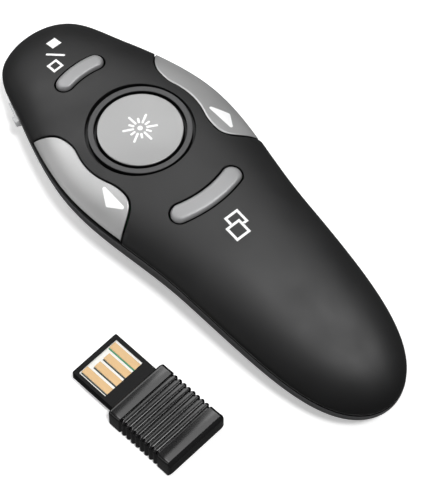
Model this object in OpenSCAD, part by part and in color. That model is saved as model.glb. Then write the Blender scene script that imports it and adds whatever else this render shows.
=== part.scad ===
// Wireless presentation clicker with its USB receiver.
// Origin: on the resting plane under the middle of the case. +Y points to the head, +X right, +Z up.
// The case is a loft: at station angle t, from 0 at the head to 180 at the tail, y is half the length
// times cos(t) and the half width is sin(t) times the girth there.

/* [Case outline] */
// Overall length of the case
case_len = 110.2; // [100:0.1:125]
// Girth at the tip of the head
head_girth = 30; // [28:0.1:33]
// Girth behind the head
neck_girth = 20.05; // [19:0.05:22]
// Girth at the wing keys
wing_girth = 20.6; // [20:0.05:22.5]
// Girth at the grip
waist_girth = 16.25; // [16:0.05:18]
// Girth at the tip of the tail
tail_girth = 22.3; // [20:0.1:26]

/* [Case section] */
// Height of the seam at its crest
seam_h = 14.5; // [14.2:0.1:16]
// Where the seam crests, behind the tip of the head
seam_crest_back = 48.1; // [45:0.1:51]
// Drop of the seam at the head
head_drop = 5; // [4:0.1:5.5]
// Drop of the seam at the tail
tail_drop = 6; // [5:0.1:6.5]
// Height of the crown above the seam
crown_h = 6; // [5.8:0.1:7]
// Belly that the flat resting face cuts off
belly_over = 1.2; // [0.9:0.1:1.6]
// Wall of the upper shell
top_wall = 1.6; // [1.3:0.1:1.7]
// Wall of the lower shell
base_wall = 1.5; // [1.2:0.1:1.6]
// Shadow gap between the shells at the seam
reveal = 0.45; // [0.3:0.05:0.6]
// Depth of the shadow gap behind the outer face
reveal_depth = 0.7; // [0.5:0.1:0.8]

/* [Ring and laser button] */
// Distance of the ring behind the tip of the head
ring_back = 36.5; // [36:0.1:37]
// Height of the ring's face
ring_z = 19.65; // [19.5:0.05:20.2]
// Tilt of the ring towards the head
ring_tilt = 3; // [2:0.5:4]
// Outer radius of the ring
ring_r = 10.4; // [9.9:0.1:10.5]
// Radial width of the ring
ring_w = 1.15; // [0.9:0.05:1.3]
// Black groove round the ring
ring_groove = 0.55; // [0.4:0.05:0.6]
// Radius of the laser button
laser_button_r = 8.5; // [8:0.1:8.6]
// Dome of the laser button
laser_dome = 0.35; // [0.2:0.05:0.6]

/* [Arc keys] */
// Radius of the screen key's arc about the ring
screen_arc_r = 19.15; // [18.6:0.05:19.6]
// Half angle of the screen key's arc
screen_half_a = 12.5; // [10:0.5:13.5]
// Width of the screen key
screen_key_w = 3.4; // [3:0.1:3.6]
// Radius of the window key's arc about the ring
window_arc_r = 21; // [20:0.1:22]
// Half angle of the window key's arc
window_half_a = 19.2; // [14:0.2:20]
// Width of the window key
window_key_w = 3.9; // [3.4:0.1:4.2]
// Height of the arc keys above the case
key_proud = 0.55; // [0.3:0.05:0.8]

/* [Wing keys] */
// Radius of the scoop that the wing keys leave round the ring
scoop_r = 13.2; // [13:0.05:13.6]
// Front lobe, distance from the centre line
front_lobe_x = 17.3; // [17:0.1:18]
// Front lobe, distance ahead of the ring
front_lobe_ahead = 8.6; // [8:0.1:9.2]
// Front lobe radius
front_lobe_r = 5.2; // [4.8:0.1:5.4]
// Rear lobe, distance from the centre line
rear_lobe_x = 15.7; // [15.5:0.1:16.5]
// Rear lobe, distance behind the ring
rear_lobe_behind = 9.3; // [8.8:0.1:9.8]
// Rear lobe radius
rear_lobe_r = 4.3; // [4:0.1:4.5]
// Thickness of the wing keys
wing_t = 2.4; // [2:0.1:2.6]

/* [Keys and switches] */
// Travel of every key
key_travel = 0.4; // [0.3:0.05:0.45]
// Gap round every key
key_gap = 0.35; // [0.25:0.05:0.4]
// Thickness of the keys' retaining flanges
flange_t = 0.4; // [0.3:0.05:0.45]
// Width of the retaining flanges beyond the key
flange_w = 0.75; // [0.6:0.05:0.9]
// Underside of the main board
board_z = 13.2; // [13.1:0.05:13.3]
// Thickness of the main board
board_t = 0.8; // [0.6:0.1:0.9]
// Inset of the board from the case outline
board_inset = 3.6; // [3.5:0.1:4.2]
// Front edge of the board behind the tip of the head
board_back = 13.8; // [13.6:0.1:14.8]
// Length of the board
board_len = 53; // [50:1:60]
// Side of a tact switch
tact_side = 3.6; // [3:0.1:4]
// Height of a tact switch
tact_h = 1; // [0.8:0.1:1.1]
// Height of a switch stem above its switch
stem_h = 0.5; // [0.45:0.05:0.6]
// Radius of a switch stem
stem_r = 0.9; // [0.7:0.05:1.1]
// Distance of the wing switches from the centre line
wing_tact_x = 13.2; // [13:0.1:13.4]

/* [Power slider] */
// Middle of the slider's window behind the tip of the head
slider_back = 12.2; // [12:0.1:12.8]
// Length of the slider's window
slider_window = 5; // [4.8:0.1:6]
// Height of the slider's window
slider_h = 2; // [1.6:0.1:2.2]
// Middle of the window below the seam
slider_below = 2.4; // [2.2:0.1:2.8]
// Travel of the slider
slider_travel = 2.5; // [2:0.1:3]
// How far the slider's plate stands out of the case
slider_proud = 0.45; // [0.3:0.05:0.6]
// How far its nub stands out of the plate
nub_proud = 0.55; // [0.4:0.05:0.7]

/* [Laser] */
// Height of the laser's axis
laser_z = 10.2; // [10:0.1:10.6]
// Radius of the laser barrel
barrel_r = 2.5; // [2:0.1:2.6]
// Length of the laser barrel
barrel_len = 11; // [9:0.5:12]
// Radius of the nose bezel
bezel_r = 2.9; // [2.8:0.05:3.1]

/* [Cells and battery door] */
// Diameter of a AAA cell
cell_d = 10.3; // [10:0.05:10.5]
// Length of a AAA cell with its nub
cell_len = 44.5; // [43.5:0.1:44.6]
// Height of the cells' axes
cell_z = 7.5; // [7.4:0.05:7.7]
// Length of a contact spring at rest
spring_len = 2.41; // [2.3:0.01:2.6]
// Front wall face of the battery bay behind the tip of the head
bay_back = 40.7; // [40.3:0.1:41]
// Half width of the battery door
door_half_w = 11; // [10.95:0.05:11.2]
// Top edge of the battery door
door_top = 4.5; // [4.4:0.05:4.6]
// Gap round the battery door
door_gap = 0.15; // [0.1:0.05:0.2]
// Number of thumb grooves on the door
grip_count = 5; // [3:1:6]
// Pitch of the thumb grooves
grip_pitch = 1.8; // [1.6:0.1:2]

/* [Receiver] */
// Width of the receiver's shell
rec_w = 15; // [14.4:0.1:15]
// Length of the receiver's shell
rec_len = 17; // [16:0.1:17]
// Thickness of the receiver's shell
rec_t = 5.6; // [5.2:0.1:5.8]
// Width of the plug
plug_w = 12; // [11.9:0.05:12.1]
// Length of the plug
plug_len = 11.4; // [11:0.1:11.5]
// Thickness of the plug
plug_t = 2.25; // [2.1:0.05:2.4]
// Number of cross ribs
rib_count = 8; // [5:1:8]
// Pitch of the cross ribs
rib_pitch = 1.22; // [1.1:0.01:1.24]
// Smooth band in front of the ribs
rib_front = 3.4; // [3.2:0.1:4]
// Place of the receiver beside the case
rec_x = -33; // [-40:0.1:-32]
// Place of the receiver along the case
rec_y = -18.4; // [-25:0.1:-12]
// Turn of the receiver
rec_turn = 4.6; // [0:0.1:8]
// Clearance of the receiver in its garage
garage_gap = 0.25; // [0.2:0.05:0.3]
// Rear wall face of the garage ahead of the front wall of the battery bay
garage_ahead = 2.8; // [2.7:0.1:3]

/* [Hidden] */
eps = 0.01;
half_len = case_len / 2;
seam_crest_y = half_len - seam_crest_back;
ring_y = half_len - ring_back;
front_lobe_y = ring_y + front_lobe_ahead;
rear_lobe_y = ring_y - rear_lobe_behind;
slider_y = half_len - slider_back;
board_front = half_len - board_back;
board_rear = board_front - board_len;
bay_front = half_len - bay_back;
garage_y = bay_front + garage_ahead;
// Stations of the loft, as angles, and steps across its section
station_step = 180 / 44;
section_step = 180 / 24;
GIRTH = [[0, head_girth], [45, neck_girth], [66, wing_girth], [104, waist_girth], [180, tail_girth]];
// Powers of the section's superellipse and of its rounding at the ends
top_side_power = 0.87;
top_rise_power = 1.24;
top_end_power = 8;
base_end_power = 6;

// ---- Loft of the case ----
function ease(a, b, k) = a + (b - a) * (1 - cos(180 * k)) / 2;
function girth(t, i = 0) = t <= GIRTH[i + 1][0] || i == len(GIRTH) - 2
    ? ease(GIRTH[i][1], GIRTH[i + 1][1], (t - GIRTH[i][0]) / (GIRTH[i + 1][0] - GIRTH[i][0]))
    : girth(t, i + 1);
function station(y) = acos(min(1, max(-1, y / half_len)));
function half_w(y) = sin(station(y)) * girth(station(y));
function seam_z(y) = seam_h - (y > seam_crest_y
    ? head_drop * pow((y - seam_crest_y) / (half_len - seam_crest_y), 2)
    : tail_drop * pow((seam_crest_y - y) / (half_len + seam_crest_y), 2));
function end_fade(t, power) = sqrt(max(0, 1 - pow(abs(cos(t)), power)));
function signed_pow(v, power) = sign(v) * pow(abs(v), power);
// A point of the upper skin, sunk by off, at station t and section angle v from -90 to 90
function top_point(t, v, off) = let(y = (half_len - off) * cos(t)) [
    sin(t) * (girth(t) - off) * signed_pow(sin(v), top_side_power),
    y,
    seam_z(y) + reveal
        + (crown_h - reveal - off) * end_fade(t, top_end_power) * pow(max(0, cos(v)), top_rise_power)
];
// A point of the lower skin, sunk by off, no lower than floor_z
function base_point(t, v, off, floor_z) = let(y = (half_len - off) * cos(t)) [
    sin(t) * (girth(t) - off) * sin(v),
    y,
    max(floor_z, seam_z(y) - (seam_z(y) + belly_over - off) * end_fade(t, base_end_power) * cos(v))
];
// Height of the upper skin above a point of the plan
function top_z(x, y) = let(r = min(1, abs(x) / half_w(y)), power = 2 / top_side_power)
    seam_z(y) + reveal + (crown_h - reveal) * end_fade(station(y), top_end_power)
        * pow(1 - pow(r, power), top_rise_power / 2);

// Triangles of a closed skin over rings of points, without those that shrink to nothing
function same(a, b) = norm(a - b) < 1e-6;
function whole(f, pts) = !same(pts[f[0]], pts[f[1]]) && !same(pts[f[1]], pts[f[2]])
    && !same(pts[f[2]], pts[f[0]]);
function ring_faces(rows, cols) = [
    for (i = [0:rows - 2], j = [0:cols - 1], k = [0, 1])
        let(a = i * cols + j, b = i * cols + (j + 1) % cols)
            k == 0 ? [a, b, b + cols] : [a, b + cols, a + cols]
];
function cap_faces(start, count, flip) = [
    for (j = [1:count / 2 - 1], k = [0, 1])
        let(a = j, b = j - 1, c = count - 1 - b, d = count - 1 - a,
            f = k == 0 ? [a, b, c] : [a, c, d])
            [for (n = flip ? [f[0], f[2], f[1]] : f) start + n]
];
// A loft through rings of points; its two ends are capped or shrink to points
module ring_loft(rings, capped = true) {
    rows = len(rings);
    cols = len(rings[0]);
    pts = [for (ring = rings, p = ring) p];
    caps = concat(cap_faces(0, cols, false), cap_faces((rows - 1) * cols, cols, true));
    faces = concat(ring_faces(rows, cols), capped ? caps : []);
    polyhedron(pts, [for (f = faces) if (whole(f, pts)) f]);
}
function span(from, to, step) = let(n = round((to - from) / step)) [for (i = [0:n]) from + i * step];
function reversed(list) = [for (i = [len(list) - 1:-1:0]) list[i]];
// A slab between two depths under the upper skin
module top_slab(t_list, v_list, outer, inner) {
    ring_loft([for (t = t_list) concat(
        [for (v = v_list) top_point(t, v, outer)],
        [for (v = reversed(v_list)) top_point(t, v, inner)])]);
}
all_stations = span(0, 180, station_step);
all_sections = span(-90, 90, section_step);

// ---- Outlines of the keys, seen from above ----
module arc_slot(r, half_a, w) {
    translate([0, ring_y]) {
        intersection() {
            difference() {
                circle(r = r + w / 2, $fn = 96);
                circle(r = r - w / 2, $fn = 96);
            }
            polygon([[0, 0], for (a = [-half_a, 0, half_a]) 2 * r * [sin(a), cos(a)]]);
        }
        for (a = [-half_a, half_a])
            translate(r * [sin(a), cos(a)]) circle(d = w, $fn = 48);
    }
}
// The right wing's outline, grown by grow; its outer corners lie past the case
module wing_outline(grow) {
    reach = wing_girth / 2;
    front = [front_lobe_x, front_lobe_y];
    rear = [rear_lobe_x, rear_lobe_y];
    difference() {
        hull() {
            translate(front) circle(r = front_lobe_r + grow, $fn = 64);
            translate(rear) circle(r = rear_lobe_r + grow, $fn = 64);
            translate(front + (front_lobe_r + grow) * [-cos(45), sin(45)] + reach * [cos(45), sin(45)])
                square(eps);
            translate(rear + (rear_lobe_r + grow) * [-sin(30), -cos(30)] + reach * [cos(30), -sin(30)])
                square(eps);
        }
        translate([0, ring_y]) circle(r = scoop_r - grow, $fn = 96);
    }
}
module wing_pillar(grow) {
    translate([0, 0, seam_h - head_drop]) linear_extrude(crown_h + head_drop + 1) wing_outline(grow);
}

// ---- Places and fits ----
touch = 0.03;
plate_t = 0.3;
bay_len = cell_len + 2 * plate_t + spring_len + 3 * touch;
bay_rear = bay_front - bay_len;
// Cross ribs above the cells
rib_y = [bay_front - 14.4, bay_front - 34.4];
boss_r = 2;
screw_r = 0.9;
screw_clear = 0.15;
screw_head_r = 1.9;
screw_head_h = 1.4;
front_screw = [10.8, ring_y + 15.4];
rear_screw_y = bay_rear - 8.8;
SCREWS = [[front_screw[0], front_screw[1]], [-front_screw[0], front_screw[1]], [0, rear_screw_y]];
seat_depth = 1.7;
seat_t = 1.2;
seat_wall = 1.15;
board_top = board_z + board_t;
stem_top = board_top + tact_h + stem_h;
rib_t = 1.2;
cell_x = cell_d / 2 + 0.1;
door_wall = 1.3;
garage_len = rec_len + plug_len + 2 * garage_gap;
garage_top = rec_t + 0.5;
wing_tact_y = rear_lobe_y + 1.2;
TACTS = [
    [0, ring_y],
    [0, ring_y + screen_arc_r],
    [0, ring_y - window_arc_r],
    [-wing_tact_x, wing_tact_y],
    [wing_tact_x, wing_tact_y]
];
// Height at which the two halves of a screw boss meet
function join_z(y) = seam_z(y) - 0.1;
// Top of an arc key's flange: just under the shell at the flange's outer corner
function flange_top(dir, r, half_a, w) = let(reach = w / 2 + flange_w, c = cos(45),
    x = r * sin(half_a) + reach * c, y = ring_y + dir * (r * cos(half_a)))
    min(top_z(x, y + reach * c), top_z(x, y - reach * c)) - top_wall - 0.12;

module ring_frame() {
    translate([0, ring_y, ring_z]) rotate([-ring_tilt, 0, 0]) children();
}
module along_y(y) {
    translate([0, y, 0]) rotate([-90, 0, 0]) children();
}
// Box from its low corner to its high corner
module box(low, high) {
    translate(low) cube(high - low);
}

// ---- Shells ----
// The lip behind the shadow gap, just under the upper rim
lip = reveal - 0.03;
// Ring of the lower shell at station t: outer skin, the step of the shadow gap, inner skin
function base_ring(t) = let(
    y_step = (half_len - reveal_depth) * cos(t), x_step = sin(t) * (girth(t) - reveal_depth),
    y_in = (half_len - base_wall) * cos(t), x_in = sin(t) * (girth(t) - base_wall))
    concat(
        [for (v = reversed(all_sections)) base_point(t, v, 0, -belly_over)],
        [[-x_step, y_step, seam_z(y_step)], [-x_step, y_step, seam_z(y_step) + lip],
            [-x_in, y_in, seam_z(y_in) + lip]],
        [for (v = all_sections) base_point(t, v, base_wall, base_wall)],
        [[x_in, y_in, seam_z(y_in) + lip], [x_step, y_step, seam_z(y_step) + lip],
            [x_step, y_step, seam_z(y_step)]]);
// Space inside the lower skin, which trims ribs, walls and bosses
module base_core() {
    ring_loft([for (t = span(27, station(rear_screw_y - 2 * boss_r), 5))
        [for (v = span(90, -90, -180 / 15)) base_point(t, v, base_wall / 2, base_wall / 2)]]);
}
nose_depth = 7;
nose_gap = 0.1;
module nose_bore(r) {
    translate([0, half_len - nose_depth, laser_z]) along_y(0)
        cylinder(r = r, h = 2 * nose_depth, $fn = 48);
}
module top_shell() {
    color("#242426") difference() {
        union() {
            top_slab(all_stations, all_sections, 0, top_wall);
            ring_frame() translate([0, 0, -seat_depth - seat_t])
                cylinder(r = ring_r + ring_groove + seat_wall, h = seat_t + seat_depth - 1, $fn = 96);
            for (p = SCREWS)
                translate([p[0], p[1], join_z(p[1])])
                    cylinder(r = boss_r, h = top_z(p[0], p[1]) - top_wall / 2 - join_z(p[1]), $fn = 32);
        }
        ring_frame() {
            translate([0, 0, -seat_depth]) cylinder(r = ring_r + ring_groove, h = crown_h, $fn = 96);
            translate([0, 0, -crown_h]) cylinder(r = laser_button_r + key_gap, h = 2 * crown_h, $fn = 96);
        }
        translate([0, 0, board_top]) linear_extrude(2 * crown_h)
            arc_slot(screen_arc_r, screen_half_a, screen_key_w + 2 * key_gap);
        translate([0, 0, board_top]) linear_extrude(2 * crown_h) mirror_arc()
            arc_slot(window_arc_r, window_half_a, window_key_w + 2 * key_gap);
        for (side = [0, 1]) mirror([side, 0, 0]) wing_pillar(0);
        for (p = SCREWS)
            translate([p[0], p[1], join_z(p[1]) - 1]) cylinder(r = screw_r + 0.02, h = 4, $fn = 24);
        nose_bore(bezel_r + nose_gap);
    }
}
// The window key's arc lies behind the ring
module mirror_arc() {
    translate([0, 2 * ring_y]) mirror([0, 1]) children();
}
module bay_walls() {
    for (y = [bay_front, bay_rear - rib_t])
        box([-wing_girth, y, base_wall / 2], [wing_girth, y + rib_t, board_z]);
    for (y = rib_y)
        box([-wing_girth, y, cell_z], [wing_girth, y + rib_t, board_z]);
}
module garage_walls() {
    half = rec_w / 2 + garage_gap + rib_t;
    rear = garage_y - rib_t;
    front = garage_y + garage_len;
    box([-half, rear, base_wall / 2], [half, front + rib_t, garage_top + rib_t]);
    box([-half, front, garage_top], [half, front + rib_t, laser_z]);
}
module screw_bosses() {
    for (p = SCREWS)
        translate([p[0], p[1], base_wall / 2])
            cylinder(r = screw_head_r + 1, h = join_z(p[1]) - base_wall / 2, $fn = 32);
    box([-wing_girth, rear_screw_y - rib_t / 2, door_top], [wing_girth, rear_screw_y + rib_t / 2, 9]);
}
module slider_frame() {
    slope = (half_w(slider_y - 1) - half_w(slider_y + 1)) / 2;
    depth = seam_z(slider_y) + belly_over;
    lean = atan(half_w(slider_y) * slider_below / pow(depth, 2));
    inset = half_w(slider_y) * (1 - sqrt(1 - pow(slider_below / depth, 2)));
    translate([inset - half_w(slider_y), slider_y, seam_z(slider_y) - slider_below])
        rotate([0, 0, -atan(slope)]) rotate([0, -lean, 0]) children();
}
slider_t = 0.75;
slider_stem = 1.4;
slider_stem_h = 1.1;
slider_gap = 0.15;
// The slider's nub and stem stand near the rear end of its plate
slider_stem_y = -slider_window / 2 + 0.9;
module slider_cuts() {
    half = slider_window / 2 + slider_gap;
    half_h = slider_h / 2 + slider_gap;
    stem_half = slider_stem / 2 + slider_gap;
    stem_half_h = slider_stem_h / 2 + slider_gap;
    slider_frame() {
        box([-3, -half, -half_h], [slider_t + slider_gap, half + slider_travel, half_h]);
        box([-1, slider_stem_y - stem_half, -stem_half_h],
            [4, slider_stem_y + stem_half + slider_travel, stem_half_h]);
    }
}
tongue_y = [rib_y[0], rib_y[0] + 8];
tongue_z = [2.6, 3.1];
tongue_w = 0.75;
module bottom_shell() {
    color("#3c3d40") difference() {
        union() {
            ring_loft([for (t = all_stations) base_ring(t)], capped = false);
            intersection() {
                base_core();
                union() {
                    bay_walls();
                    garage_walls();
                    screw_bosses();
                }
            }
        }
        box([-case_len, -case_len, -seam_h], [case_len, case_len, 0]);
        box([-door_half_w, -case_len, -1], [door_half_w, bay_front, door_top + door_gap / 2]);
        for (side = [0, 1]) mirror([side, 0, 0])
            box([door_half_w - 1, bay_rear, tongue_z[0] - door_gap / 2],
                [door_half_w + tongue_w, tongue_y[1] + door_gap, tongue_z[1] + door_gap / 2]);
        box([-rec_w / 2 - garage_gap, garage_y, -1],
            [rec_w / 2 + garage_gap, garage_y + garage_len, garage_top]);
        for (side = [-1, 1])
            translate([side * cell_x, bay_rear, cell_z]) along_y(0)
                cylinder(r = cell_d / 2 + 0.1, h = bay_len, $fn = 64);
        for (p = SCREWS)
            translate([p[0], p[1], -1]) {
                cylinder(r = screw_head_r + screw_clear, h = 1 + screw_seat(p[1]), $fn = 32);
                cylinder(r = screw_r + screw_clear, h = 2 * seam_h, $fn = 24);
            }
        slider_cuts();
        nose_bore(bezel_r + nose_gap);
        translate([0, half_len - nose_depth - barrel_len, laser_z]) along_y(0)
            cylinder(r = barrel_r + 0.05, h = barrel_len + 1, $fn = 48);
    }
}
// Height of a screw head's seat in the lower boss
function screw_seat(y) = join_z(y) - 4;
module case_screws() {
    color("#9a9ca0") for (p = SCREWS)
        translate([p[0], p[1], screw_seat(p[1]) - screw_head_h]) {
            cylinder(r = screw_head_r, h = screw_head_h, $fn = 32);
            cylinder(r = screw_r, h = screw_head_h + 6.5, $fn = 24);
        }
}
module battery_door() {
    color("#3c3d40") difference() {
        union() {
            intersection() {
                door_skin();
                box([-door_half_w + door_gap, -case_len, 0],
                    [door_half_w - door_gap, bay_front - door_gap, door_top]);
            }
            for (side = [0, 1]) mirror([side, 0, 0])
                box([door_half_w - 1.2, tongue_y[0], tongue_z[0]],
                    [door_half_w + tongue_w - door_gap, tongue_y[1], tongue_z[1]]);
        }
        for (i = [0:grip_count - 1])
            box([-5, bay_front - 3 - i * grip_pitch, -1], [5, bay_front - 2.2 - i * grip_pitch, 0.4]);
    }
}
module door_skin() {
    t_list = [for (t = all_stations) if (t > station(bay_front) - 2 * station_step) t];
    v_list = span(-60, 60, 2 * section_step);
    ring_loft([for (t = t_list) concat(
        [for (v = reversed(v_list)) base_point(t, v, 0, -belly_over)],
        [for (v = v_list) base_point(t, v, door_wall, door_wall)])]);
}

// ---- Ring and keys ----
module button_ring() {
    edge = 0.2;
    color("#7c7e82") ring_frame() rotate_extrude($fn = 96) polygon([
        [ring_r - ring_w, -seat_depth], [ring_r, -seat_depth], [ring_r, -edge], [ring_r - edge, 0],
        [ring_r - ring_w + edge, 0], [ring_r - ring_w, -edge]
    ]);
}
module laser_button() {
    plate = 1.4;
    rim = 0.25;
    skirt = laser_button_r - plate;
    flange_z = -seat_depth - seat_t - 0.08;
    flange_r = laser_button_r + key_gap + flange_w;
    dome_r = (pow(laser_button_r - rim, 2) + pow(laser_dome, 2)) / (2 * laser_dome);
    post_z = (stem_top + touch - ring_z) / cos(ring_tilt);
    color("#c4c5c7") ring_frame() {
        rotate_extrude($fn = 96) polygon(concat(
            [for (k = [0:8]) let(x = (laser_button_r - rim) * k / 8)
                [x, laser_dome - dome_r + sqrt(pow(dome_r, 2) - pow(x, 2))]],
            [[laser_button_r, -rim], [laser_button_r, flange_z], [flange_r, flange_z],
                [flange_r, flange_z - flange_t], [skirt, flange_z - flange_t], [skirt, -plate],
                [0, -plate]]));
        translate([0, 0, post_z]) cylinder(r = 1.3, h = -plate / 2 - post_z, $fn = 32);
    }
}
// A pill along an arc of radius r about the ring, ahead of it for dir 1 and behind it for dir -1. Its top
// follows the case and rises by proud with a rounded edge; its underside is flat at low_z.
module pill(dir, r, half_a, w, low_z) {
    centre_half = r * half_a * PI / 180;
    end = centre_half + w / 2;
    function half_at(s) = sqrt(max(0, pow(w / 2, 2) - pow(max(0, abs(s) - centre_half), 2)));
    function plan(s, q) = let(a = s / r * 180 / PI, d = r + dir * q)
        [d * sin(a), ring_y + dir * d * cos(a)];
    function edge(s, q) = min(1, norm([q, max(0, abs(s) - centre_half)]) / (w / 2));
    sink = 0.35;
    s_list = [for (i = [-10:10]) end * sin(9 * i)];
    q_list = [for (j = [-5:5]) sin(18 * j)];
    ring_loft([for (s = s_list) let(h = half_at(s)) concat(
        [for (q = q_list) let(p = plan(s, q * h))
            [p[0], p[1], top_z(p[0], p[1]) - sink + (key_proud + sink) * sqrt(1 - pow(edge(s, q * h), 4))]],
        [for (q = reversed(q_list)) let(p = plan(s, q * h)) [p[0], p[1], low_z]])]);
}
module arc_key(dir, r, half_a, w) {
    top = flange_top(dir, r, half_a, w);
    pill(dir, r, half_a, w, top - flange_t / 2);
    translate([0, 0, top - flange_t]) linear_extrude(flange_t)
        translate([0, dir > 0 ? 0 : 2 * ring_y]) scale([1, dir]) arc_slot(r, half_a, w + 2 * flange_w);
    translate([0, ring_y + dir * r, stem_top + touch])
        cylinder(r = 1.2, h = top - flange_t / 2 - stem_top - touch, $fn = 32);
}
module screen_key() {
    color("#a2a3a6") arc_key(1, screen_arc_r, screen_half_a, screen_key_w);
}
module window_key() {
    color("#a9aaac") arc_key(-1, window_arc_r, window_half_a, window_key_w);
}
module wing_key() {
    t_list = [for (t = all_stations)
        if (t > station(front_lobe_y + 2 * front_lobe_r) && t < station(rear_lobe_y - 3 * rear_lobe_r)) t];
    v_list = concat([for (v = all_sections) if (v > 22 && v < 76) v], [79.5]);
    intersection() {
        top_slab(t_list, v_list, 0, wing_t);
        wing_pillar(-key_gap);
    }
    intersection() {
        top_slab(t_list, v_list, top_wall + 0.12, wing_t);
        wing_pillar(flange_w);
    }
    translate([wing_tact_x, wing_tact_y, stem_top + touch])
        cylinder(r = 1.2, h = top_z(wing_tact_x, wing_tact_y) - wing_t / 2 - stem_top - touch, $fn = 32);
}
module page_right_key() {
    color("#aeb0b4") wing_key();
}
module page_left_key() {
    color("#aeb0b4") mirror([1, 0, 0]) wing_key();
}

// ---- Board, switches and radio ----
module board_outline() {
    rows = 24;
    right = [for (i = [0:rows]) let(y = board_rear + (board_front - board_rear) * i / rows)
        [half_w(y) - board_inset, y]];
    polygon(concat(right, [for (p = reversed(right)) [-p[0], p[1]]]));
}
module main_board() {
    color("#1f6b3f") difference() {
        translate([0, 0, board_z]) linear_extrude(board_t) board_outline();
        for (side = [-1, 1])
            translate([side * front_screw[0], front_screw[1], board_z - 1])
                cylinder(r = boss_r + 0.25, h = board_t + 2, $fn = 32);
    }
}
module tact_body(i) {
    color("#b4b6ba") translate([TACTS[i][0], TACTS[i][1], board_top]) difference() {
        translate([-tact_side / 2, -tact_side / 2, 0]) cube([tact_side, tact_side, tact_h]);
        translate([0, 0, -1]) cylinder(r = stem_r + 0.12, h = tact_h + 2, $fn = 32);
    }
}
module tact_stem(i) {
    low = key_travel + 0.05;
    color("#19191b") translate([TACTS[i][0], TACTS[i][1], board_top + low])
        cylinder(r = stem_r, h = tact_h + stem_h - low, $fn = 32);
}
module tact_body_laser() { tact_body(0); }
module tact_body_screen() { tact_body(1); }
module tact_body_window() { tact_body(2); }
module tact_body_left() { tact_body(3); }
module tact_body_right() { tact_body(4); }
module tact_stem_laser() { tact_stem(0); }
module tact_stem_screen() { tact_stem(1); }
module tact_stem_window() { tact_stem(2); }
module tact_stem_left() { tact_stem(3); }
module tact_stem_right() { tact_stem(4); }
chip_side = 5;
chip_back = 14.3;
crystal_x = 4.5;
crystal_size = [3.2, 2.5, 0.8];
module radio_chip() {
    front = board_front - chip_back;
    color("#18191b")
        box([-chip_side / 2, front - chip_side, board_z - 0.9], [chip_side / 2, front, board_z]);
}
module crystal_can() {
    front = board_front - chip_back - 1.5;
    color("#c9cacc") box([crystal_x, front - crystal_size[1], board_z - crystal_size[2]],
        [crystal_x + crystal_size[0], front, board_z]);
}

// ---- Power slider and its switch ----
switch_x = 3.4;
lever_x = 2.4;
// Clears the slider's lean
lever_gap = 0.3;
switch_wall = 1.2;
module power_slider() {
    nub = 1.7;
    groove_pitch = 0.9;
    groove_w = 0.35;
    color("#c6c7c9") slider_frame() {
        difference() {
            box([-slider_proud, -slider_window / 2, -slider_h / 2],
                [slider_t, slider_window / 2, slider_h / 2]);
            for (k = [1:3])
                translate([0, slider_stem_y + nub / 2 + k * groove_pitch, 0])
                    box([-2 * slider_proud, 0, -slider_h], [0.15 - slider_proud, groove_w, slider_h]);
        }
        box([-slider_proud - nub_proud, slider_stem_y - nub / 2, -slider_h / 2],
            [slider_t / 2, slider_stem_y + nub / 2, slider_h / 2]);
        box([slider_t / 2, slider_stem_y - slider_stem / 2, -slider_stem_h / 2],
            [lever_x, slider_stem_y + slider_stem / 2, slider_stem_h / 2]);
    }
}
module slide_switch_body() {
    top = board_z - seam_z(slider_y) + slider_below;
    slot_h = 0.75;
    slot_low = slider_stem_y - 0.9;
    slot_high = slider_stem_y + 0.9 + slider_travel;
    color("#b4b6ba") difference() {
        switch_frame() box([switch_x, slot_low - switch_wall, -slot_h - 0.5],
            [switch_x + 2.5 * switch_wall, slot_high + switch_wall, top]);
        switch_frame() box([switch_x - 1, slot_low, -slot_h], [switch_x + switch_wall, slot_high, slot_h]);
    }
}
module slide_switch_lever() {
    color("#19191b") switch_frame()
        box([lever_x + lever_gap, slider_stem_y - 0.5, -0.5], [switch_x + 1, slider_stem_y + 0.5, 0.5]);
}
// The slider's frame without its lean, square to the board
module switch_frame() {
    slope = (half_w(slider_y - 1) - half_w(slider_y + 1)) / 2;
    translate([-half_w(slider_y), slider_y, seam_z(slider_y) - slider_below])
        rotate([0, 0, -atan(slope)]) children();
}

// ---- Laser ----
bezel_len = nose_depth - 1.8;
lens_seat = bezel_len - 1.8;
lens_r = 0.7 * bezel_r;
module laser_barrel() {
    color("#b8924a") translate([0, half_len - nose_depth - barrel_len, laser_z]) along_y(0) difference() {
        cylinder(r = barrel_r, h = barrel_len, $fn = 48);
        translate([0, 0, 3]) cylinder(r = barrel_r - 0.6, h = barrel_len, $fn = 48);
    }
}
module nose_bezel() {
    color("#0e0e10") translate([0, half_len - nose_depth + touch, laser_z]) along_y(0) difference() {
        cylinder(r = bezel_r, h = bezel_len, $fn = 48);
        translate([0, 0, -1]) cylinder(r = bezel_r / 2, h = 2 * bezel_len, $fn = 48);
        translate([0, 0, lens_seat]) cylinder(r = lens_r + touch, h = bezel_len, $fn = 48);
    }
}
module laser_lens() {
    color("#d8e0e4") translate([0, half_len - nose_depth + touch + lens_seat, laser_z]) along_y(0)
        cylinder(r = lens_r, h = 0.9, $fn = 48);
}

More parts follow.
